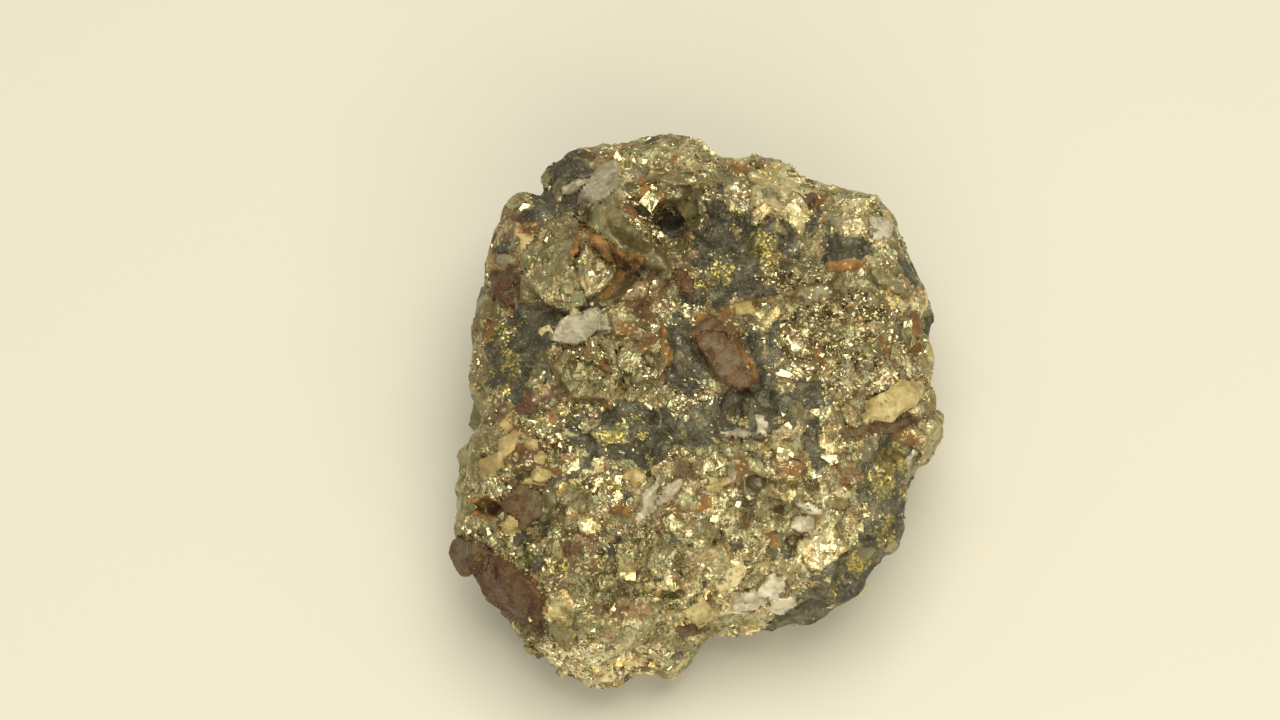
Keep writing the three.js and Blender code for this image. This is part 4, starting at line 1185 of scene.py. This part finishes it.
def mineral_material(name, look):
    """One mineral of the lump's surface."""
    material, tree, shader = new_material("ore_" + name)
    low, middle, high = look["colours"]
    fleck_colour, fleck_metal, fleck_size, fleck_cover = look["fleck"]
    (size, tilt), (fine_size, fine_tilt) = look["facet"], look["fine"]
    facets = use_group(
        tree, "Broken Facets", Size=size, Tilt=tilt, Fine_Size=fine_size, Fine_Tilt=fine_tilt,
        Stretch=look.get("stretch", NO_STRETCH))
    clast_shift = remap(tree, stored(tree, "tone"), 0.1, 0.9, -CLAST_SHIFT, CLAST_SHIFT)
    facet_shift = remap(tree, facets["Tone"], 0.0, 1.0, -FACET_SHIFT, FACET_SHIFT)
    ground = use_group(
        tree, "Mottle", Low=low, Middle=middle, High=high, Size=MOTTLE_SIZE,
        Hue=look.get("drift", HUE_DRIFT), Shift=math_node(tree, "ADD", clast_shift, facet_shift))
    flecks = use_group(tree, "Flecks", Size=fleck_size, Cover=fleck_cover)["Mask"]
    flecked = mix_colour(tree, flecks, ground["Colour"], fleck_colour)
    # The stained colour also holds the painted shade of the hollows. Its mask holds both, so hollows
    # are also less metallic and rougher.
    stained = use_group(tree, "Iron Stain and Hollow Shade", Colour=flecked, Amount=look["stain"])
    feed(tree, shader["Base Color"], stained["Colour"])
    unstained_unshaded = math_node(tree, "SUBTRACT", 1.0, stained["Mask"], clamp=True)
    metal = remap(tree, flecks, 0.0, 1.0, look["metal"], fleck_metal)
    feed(tree, shader["Metallic"], math_node(tree, "MULTIPLY", unstained_unshaded, metal))
    dull = math_node(tree, "MULTIPLY", ground["Dull"], look["dull"])
    rough = math_node(tree, "ADD", dull, remap(tree, facets["Fine Tone"], 0.0, 1.0, *look["rough"]))
    stain = math_node(tree, "MULTIPLY", stained["Mask"], STAIN_AND_SHADE_ROUGHNESS)
    feed(tree, shader["Roughness"], math_node(tree, "ADD", rough, stain, clamp=True))
    feed(tree, shader["Normal"], facets["Normal"])
    shader["Specular IOR Level"].default_value = look.get("gloss", GLOSS)
    return material


def grain_material(name, colours, rough):
    """Metallic crystal grains, each with a tone of its own."""
    material, tree, shader = new_material(name)
    tone = stored(tree, "grain_tone")
    facets = use_group(
        tree, "Broken Facets", Size=0.6, Tilt=0.35, Fine_Size=0.25, Fine_Tilt=0.3)
    low, middle, high = colours
    lower = mix_colour(tree, remap(tree, tone, 0.0, 0.5), low, middle)
    feed(tree, shader["Base Color"], mix_colour(tree, remap(tree, tone, 0.7, 1.0), lower, high))
    feed(tree, shader["Roughness"], remap(tree, facets["Fine Tone"], 0.0, 1.0, *rough))
    feed(tree, shader["Normal"], facets["Normal"])
    shader["Metallic"].default_value = 1.0
    return material


def pyrite_material(settings):
    """The material that the pyrite grains and chips share."""
    made = bpy.data.materials.get("pyrite_grain")
    if made is None:
        colours = (settings.tarnish, settings.brass, settings.pale)
        made = grain_material("pyrite_grain", colours, PYRITE_ROUGHNESS)
    return made


# Geometry Nodes: angular grains bedded in a surface.

GRAIN_INPUTS = {
    "Cover": ("NodeSocketString", "grain_cover"), "Spacing": ("NodeSocketFloat", 0.0004),
    "Smallest": ("NodeSocketFloat", 0.0003), "Largest": ("NodeSocketFloat", 0.001),
    "Sink": ("NodeSocketFloat", 0.3), "Lean": ("NodeSocketFloat", 0.6),
    "Unevenness": ("NodeSocketFloat", 0.0001), "Seed": ("NodeSocketInt", 1),
    "Material": ("NodeSocketMaterial", None),
}

# Most grains to an area of the spacing squared, before those that lie too close are left out.
CROWDING = 1.6

# How much more often a grain is small than large, as a power.
SIZE_SKEW = 1.8

# Waves to a metre of the noise that makes the grains uneven.
UNEVEN_SCALE = 2600.0

# The least and the most that a grain is stretched along its edges, and that it is turned about
# them, in radians where Lean is 1.
STRETCH_LIMITS = ((0.6, 0.6, 0.6), (1.25, 1.25, 1.1))
TURN_LIMITS = ((-1.0, -1.0, -6.0), (1.0, 1.0, 6.0))

# Seeds of the grains' own draws.
GRAIN_SEEDS = {"turn": 3, "stretch": 5, "size": 7, "tone": 9}


def random_vector(tree, limits, seed):
    """A random vector for each point."""
    low, high = limits
    return add_node(
        tree, "FunctionNodeRandomValue", {"Min": low, "Max": high, "Seed": seed},
        data_type="FLOAT_VECTOR").outputs[0]


def random_share(tree, seed):
    """A random number from 0 to 1 for each point."""
    return add_node(tree, "FunctionNodeRandomValue", {"Seed": seed}, data_type="FLOAT").outputs[1]


def grain_tree():
    """Blocks, slabs and chips bedded in a surface, more of them where its cover is higher."""
    tree = bpy.data.node_groups.new("Bedded Grains", "GeometryNodeTree")
    tree.interface.new_socket("Surface", in_out="INPUT", socket_type="NodeSocketGeometry")
    for label, (kind, value) in GRAIN_INPUTS.items():
        socket = tree.interface.new_socket(label, in_out="INPUT", socket_type=kind)
        if value is not None:
            socket.default_value = value
    tree.interface.new_socket("Grains", in_out="OUTPUT", socket_type="NodeSocketGeometry")
    given = tree.nodes.new("NodeGroupInput").outputs
    result = tree.nodes.new("NodeGroupOutput").inputs

    area = math_node(tree, "MULTIPLY", given["Spacing"], given["Spacing"])
    cover = add_node(
        tree, "GeometryNodeInputNamedAttribute", {"Name": given["Cover"]}, data_type="FLOAT")
    spread = add_node(
        tree, "GeometryNodeDistributePointsOnFaces",
        {"Mesh": given["Surface"], "Distance Min": given["Spacing"],
         "Density Max": math_node(tree, "DIVIDE", CROWDING, area),
         "Density Factor": cover.outputs["Attribute"], "Seed": given["Seed"]},
        distribute_method="POISSON")

    skewed = math_node(tree, "POWER", random_share(tree, GRAIN_SEEDS["size"]), SIZE_SKEW)
    extra = math_node(tree, "SUBTRACT", given["Largest"], given["Smallest"])
    edge = math_node(tree, "MULTIPLY_ADD", skewed, extra, given["Smallest"])
    depth = math_node(tree, "MULTIPLY", edge, math_node(tree, "MULTIPLY", given["Sink"], -1.0))
    sunk = add_node(
        tree, "GeometryNodeSetPosition",
        {"Geometry": spread.outputs["Points"],
         "Offset": vector_node(tree, "SCALE", spread.outputs["Normal"], depth)})
    stretch = random_vector(tree, STRETCH_LIMITS, GRAIN_SEEDS["stretch"])
    lean = random_vector(tree, TURN_LIMITS, GRAIN_SEEDS["turn"])
    turned = add_node(
        tree, "FunctionNodeRotateRotation",
        {"Rotation": spread.outputs["Rotation"],
         "Rotate By": vector_node(tree, "SCALE", lean, given["Lean"])}, rotation_space="LOCAL")

    cube = add_node(tree, "GeometryNodeMeshCube", {"Size": (1.0, 1.0, 1.0)})
    slab = add_node(tree, "GeometryNodeMeshCube", {"Size": (1.4, 0.8, 0.8)})
    chip = add_node(tree, "GeometryNodeMeshIcoSphere", {"Radius": 0.6, "Subdivisions": 1})
    shapes = tree.nodes.new("GeometryNodeGeometryToInstance")
    for grain in (chip, slab, cube):
        tree.links.new(grain.outputs["Mesh"], shapes.inputs[0])
    placed = add_node(
        tree, "GeometryNodeInstanceOnPoints",
        {"Points": sunk.outputs[0], "Instance": shapes.outputs[0], "Pick Instance": True,
         "Rotation": turned.outputs[0], "Scale": vector_node(tree, "SCALE", stretch, edge)})
    toned = add_node(
        tree, "GeometryNodeStoreNamedAttribute",
        {"Geometry": placed.outputs[0], "Name": "grain_tone",
         "Value": random_share(tree, GRAIN_SEEDS["tone"])},
        data_type="FLOAT", domain="INSTANCE")
    real = add_node(tree, "GeometryNodeRealizeInstances", {"Geometry": toned.outputs[0]})

    place = add_node(tree, "GeometryNodeInputPosition").outputs[0]
    wave = noise_node(tree, place, UNEVEN_SCALE, 0.0).outputs["Color"]
    offset = vector_node(tree, "SUBTRACT", wave, MID_COLOUR)
    uneven = add_node(
        tree, "GeometryNodeSetPosition",
        {"Geometry": real.outputs[0],
         "Offset": vector_node(tree, "SCALE", offset, given["Unevenness"])})
    flat = add_node(
        tree, "GeometryNodeSetShadeSmooth", {"Geometry": uneven.outputs[0], "Shade Smooth": False})
    dressed = add_node(
        tree, "GeometryNodeSetMaterial",
        {"Geometry": flat.outputs[0], "Material": given["Material"]})
    tree.links.new(dressed.outputs[0], result["Grains"])
    return tree


def bedded_grains(name, values):
    """Runs the grain tree over the lump's surface and adds the grains as a plain piece."""
    carrier = linked("carrier", bpy.data.objects["ore_body"].data)
    modifier = carrier.modifiers.new("grains", "NODES")
    tree = bpy.data.node_groups.get("Bedded Grains") or grain_tree()
    modifier.node_group = tree
    for item in tree.interface.items_tree:
        if item.in_out == "INPUT" and item.name in values:
            modifier[item.identifier] = values[item.name]
    mesh = plain_mesh(carrier, name)
    bpy.data.objects.remove(carrier)
    lump_piece(name, mesh)


# The single bright faces are blocks this deep, in millimetres, sunk by this share of the depth and
# a little under their given size. Each is skewed by these shares and turned by this many radians
# more than the last.
FLASH_DEPTH = 0.3
FLASH_SINK = 0.1
FLASH_SIZE = 0.85
FLASH_SKEW = (0.35, -0.2)
FLASH_TURN = 1.1

# From how far off, in millimetres, the surface under a bright face is looked for.
RAY_START = 40


def facing_light():
    """The direction that mirrors the ceiling light towards the eye."""
    light = (Vector(LIGHTS["ceiling"][0]) - LIT_POINT).normalized()
    return (light + TOWARDS_EYE).normalized()


def flash_faces(body):
    """Small flat crystals on the body, turned to mirror the light, with a gold share for each, which is
    a painted warm reflection.
    """
    surface = BVHTree.FromObject(body, bpy.context.evaluated_depsgraph_get())
    facing = facing_light()
    along = facing.cross(VIEW_UP).normalized()
    across = facing.cross(along)
    work = bmesh.new()
    gold = []
    for index, (u, v, length, width, share) in enumerate(FLASHES.values()):
        start = (FACE_MIDDLE + VIEW_RIGHT * u + VIEW_UP * v + TOWARDS_EYE * RAY_START) * MM
        hit = surface.ray_cast(start, -TOWARDS_EYE)[0]
        spin = Matrix.Rotation(index * FLASH_TURN, 3, facing)
        axes = (
            spin @ along * FLASH_SIZE * length * MM, spin @ across * FLASH_SIZE * width * MM,
            facing * FLASH_DEPTH * MM)
        made = bmesh.ops.create_cube(work, size=1.0)["verts"]
        for vertex in made:
            x, y = vertex.co[:2]
            skew = Vector((FLASH_SKEW[0] * y * x, FLASH_SKEW[1] * x, -FLASH_SINK))
            corner = vertex.co + skew
            vertex.co = hit + sum((axis * k for axis, k in zip(axes, corner)), Vector())
        gold += [share] * len(made)
    mesh = bpy.data.meshes.new("bright_faces")
    work.to_mesh(mesh)
    work.free()
    # The gold share becomes the faces' tone, a painted reflection of a warm lamp.
    store(mesh, "grain_tone", gold)
    return mesh


# The stage.

# Half the floor's edge in metres, how rough it is, and the place in the view that the camera aims
# at, as u and v.
FLOOR_REACH = 1.5
FLOOR_ROUGHNESS = 0.7
FRAME_MIDDLE = (-5.7, 5.1)

# The lights: place in metres, edge in metres, power in watts and colour.
LIGHTS = {
    "ceiling": ((0.04, 0.05, 0.56), 0.44, 2.6, (1.0, 0.945, 0.785)),
    "window": ((0.02, -0.46, 0.36), 0.44, 1.6, (1.0, 0.95, 0.78)),
    "lamp": ((0.32, -0.42, 0.40), 0.09, 0.30, (1.0, 0.80, 0.50)),
}
ROOM_COLOUR = (1.0, 0.96, 0.82)
ROOM_STRENGTH = 0.40

# The points, in metres, that the lights aim at and that the bright faces mirror the light from.
LIGHT_AIM = Vector((0, 0, 0.012))
LIT_POINT = Vector((0, 0, 0.02))


def look_along(piece, direction):
    """Turns a camera or a light to look in a direction."""
    piece.rotation_euler = direction.to_track_quat("-Z", "Y").to_euler()


def stage_floor(settings):
    """A plain pale table top."""
    mesh = bpy.data.meshes.new("table")
    corners = [(x * FLOOR_REACH, y * FLOOR_REACH, 0) for x, y in ((-1, -1), (1, -1), (1, 1), (-1, 1))]
    mesh.from_pydata(corners, [], [(0, 1, 2, 3)])
    material, _, shader = new_material("table_top")
    shader["Base Color"].default_value = (*settings.floor, 1)
    shader["Roughness"].default_value = FLOOR_ROUGHNESS
    mesh.materials.append(material)
    linked("table", mesh)


def stage_camera(settings):
    """The camera at the photograph's angle, square to the described view."""
    data = bpy.data.cameras.new("camera")
    data.lens = settings.lens
    data.clip_start = 0.01
    camera = linked("camera", data)
    u, v = FRAME_MIDDLE
    aim = (FACE_MIDDLE + VIEW_RIGHT * u + VIEW_UP * v) * MM
    camera.location = aim + TOWARDS_EYE * settings.distance
    look_along(camera, -TOWARDS_EYE)
    bpy.context.scene.camera = camera


def stage_lights():
    """Broad soft lights from above and in front, a small warm lamp at the right, and a pale room."""
    for name, (place, edge, power, colour) in LIGHTS.items():
        data = bpy.data.lights.new(name, "AREA")
        data.size = edge
        data.energy = power
        data.color = colour
        light = linked(name, data)
        light.location = place
        look_along(light, LIGHT_AIM - Vector(place))
    world = bpy.data.worlds.new("room")
    world.use_nodes = True
    background = world.node_tree.nodes["Background"].inputs
    background["Color"].default_value = (*ROOM_COLOUR, 1)
    background["Strength"].default_value = ROOM_STRENGTH
    bpy.context.scene.world = world


# Settings that a user would change.

class OreBodySettings(bpy.types.PropertyGroup):
    voxel: FloatProperty(
        name="Mesh size", description="Edge of the surface's faces", default=0.27 * MM,
        min=0.2 * MM, unit="LENGTH")
    kept: FloatProperty(
        name="Triangles kept", description="Share of the even mesh's triangles that is kept",
        default=0.63, min=0.1, max=1.0)
    relief: FloatProperty(
        name="Relief", description="Strength of the broken relief", default=1.0, min=0.0)


class OreGrainSettings(bpy.types.PropertyGroup):
    grain: FloatProperty(
        name="Largest grain", description="Edge of the largest pyrite grain",
        default=1.5 * MM, unit="LENGTH")
    chip: FloatProperty(
        name="Largest chip", description="Edge of the largest sparkling chip",
        default=0.6 * MM, unit="LENGTH")
    seed: IntProperty(
        name="Seed", description="Start of the pyrite grains' random draws", default=4)
    pale: FloatVectorProperty(
        name="Pale brass", description="Colour of the brightest pyrite grains",
        default=(0.92, 0.85, 0.52), subtype="COLOR")
    brass: FloatVectorProperty(
        name="Brass", description="Colour of most pyrite grains", default=(0.56, 0.53, 0.31),
        subtype="COLOR")
    tarnish: FloatVectorProperty(
        name="Tarnish", description="Colour of the dullest pyrite grains",
        default=(0.27, 0.23, 0.115), subtype="COLOR")


class OreStageSettings(bpy.types.PropertyGroup):
    floor: FloatVectorProperty(
        name="Floor", description="Colour of the floor", default=(0.66, 0.645, 0.575),
        subtype="COLOR")
    distance: FloatProperty(
        name="Camera distance", description="Distance from the lump to the camera",
        default=0.533, unit="LENGTH")
    lens: FloatProperty(name="Lens", description="Focal length in millimetres", default=150.0)
    look: EnumProperty(
        name="View transform", description="How the light is turned into picture colours",
        items=[("Standard", "Standard", "Plain"), ("AgX", "AgX", "Soft")], default="Standard")


# Operators, one for each piece and one for the stage.

class OREBENCH_OT_stage(bpy.types.Operator):
    """Set up the floor, the camera and the lights"""

    bl_idname = "orebench.stage"
    bl_label = "Stage"

    def execute(self, context):
        settings = context.scene.ore_stage
        stage_floor(settings)
        stage_camera(settings)
        stage_lights()
        context.scene.view_settings.view_transform = settings.look
        return {"FINISHED"}


class OREBENCH_OT_body(bpy.types.Operator):
    """Build the lump's surface with its minerals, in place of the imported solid"""

    bl_idname = "orebench.body"
    bl_label = "Ore body"

    def execute(self, context):
        mesh = shaped_lump(context.scene.ore_body)
        for name in MINERALS:
            mesh.materials.append(mineral_material(name, LOOKS[name]))
        piece = lump_piece("ore_body", mesh)
        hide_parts("ore_lump")
        return {"FINISHED"}


class OREBENCH_OT_pyrite_grains(bpy.types.Operator):
    """Bed angular grains in the pyrite ground"""

    bl_idname = "orebench.pyrite_grains"
    bl_label = "Pyrite grains"

    def execute(self, context):
        settings = context.scene.ore_grains
        bedded_grains("pyrite_grains", {
            "Cover": "grain_cover", "Spacing": 1.0 * MM, "Smallest": 0.7 * MM,
            "Largest": settings.grain, "Sink": 0.40, "Lean": 0.5, "Unevenness": 0.8 * MM,
            "Seed": settings.seed + 1, "Material": pyrite_material(settings)})
        return {"FINISHED"}


class OREBENCH_OT_pyrite_chips(bpy.types.Operator):
    """Scatter small sparkling chips over the pyrite"""

    bl_idname = "orebench.pyrite_chips"
    bl_label = "Pyrite chips"

    def execute(self, context):
        settings = context.scene.ore_grains
        bedded_grains("pyrite_chips", {
            "Cover": "chip_cover", "Spacing": 0.42 * MM, "Smallest": 0.16 * MM,
            "Largest": settings.chip, "Sink": 0.32, "Lean": 0.8, "Unevenness": 0.3 * MM,
            "Seed": settings.seed + 2, "Material": pyrite_material(settings)})
        return {"FINISHED"}


class OREBENCH_OT_copper_grains(bpy.types.Operator):
    """Bed small yellow chalcopyrite grains in the dark veins"""

    bl_idname = "orebench.copper_grains"
    bl_label = "Chalcopyrite grains"

    def execute(self, context):
        material = grain_material("copper_grain", COPPER_COLOURS, COPPER_ROUGHNESS)
        bedded_grains("copper_grains", {
            "Cover": "copper_cover", "Spacing": 0.6 * MM, "Smallest": 0.25 * MM,
            "Largest": 0.7 * MM, "Sink": 0.4, "Lean": 1.0, "Unevenness": 0.2 * MM,
            "Seed": 12, "Material": material})
        return {"FINISHED"}


class OREBENCH_OT_flashes(bpy.types.Operator):
    """Set the single crystal faces that catch the light"""

    bl_idname = "orebench.flashes"
    bl_label = "Bright faces"

    def execute(self, context):
        mesh = flash_faces(bpy.data.objects["ore_body"])
        mesh.materials.append(grain_material("bright_face", FLASH_COLOURS, FLASH_ROUGHNESS))
        lump_piece("bright_faces", mesh)
        return {"FINISHED"}


class OREBENCH_PT_panel(bpy.types.Panel):
    """The ore specimen's settings"""

    bl_idname = "OREBENCH_PT_panel"
    bl_label = "Pyrite Ore"
    bl_space_type = "VIEW_3D"
    bl_region_type = "UI"
    bl_category = "Ore"

    def draw(self, context):
        scene = context.scene
        for label, settings in (
            ("Body", scene.ore_body), ("Grains", scene.ore_grains), ("Stage", scene.ore_stage)
        ):
            box = self.layout.box()
            box.label(text=label)
            for name in settings.__annotations__:
                box.prop(settings, name)
        for step in STEPS:
            self.layout.operator(step.bl_idname)


SETTINGS = {"ore_body": OreBodySettings, "ore_grains": OreGrainSettings, "ore_stage": OreStageSettings}
STEPS = (
    OREBENCH_OT_stage, OREBENCH_OT_body, OREBENCH_OT_pyrite_grains, OREBENCH_OT_pyrite_chips,
    OREBENCH_OT_copper_grains, OREBENCH_OT_flashes,
)


def register():
    for kind in (*SETTINGS.values(), *STEPS, OREBENCH_PT_panel):
        bpy.utils.register_class(kind)
    for name, kind in SETTINGS.items():
        setattr(bpy.types.Scene, name, PointerProperty(type=kind))


def unregister():
    for name in SETTINGS:
        delattr(bpy.types.Scene, name)
    for kind in (OREBENCH_PT_panel, *reversed(STEPS), *SETTINGS.values()):
        bpy.utils.unregister_class(kind)


def main():
    register()
    bpy.ops.orebench.stage()
    bpy.ops.orebench.body()
    bpy.ops.orebench.pyrite_grains()
    bpy.ops.orebench.pyrite_chips()
    bpy.ops.orebench.copper_grains()
    bpy.ops.orebench.flashes()


if __name__ == "__main__":
    main()
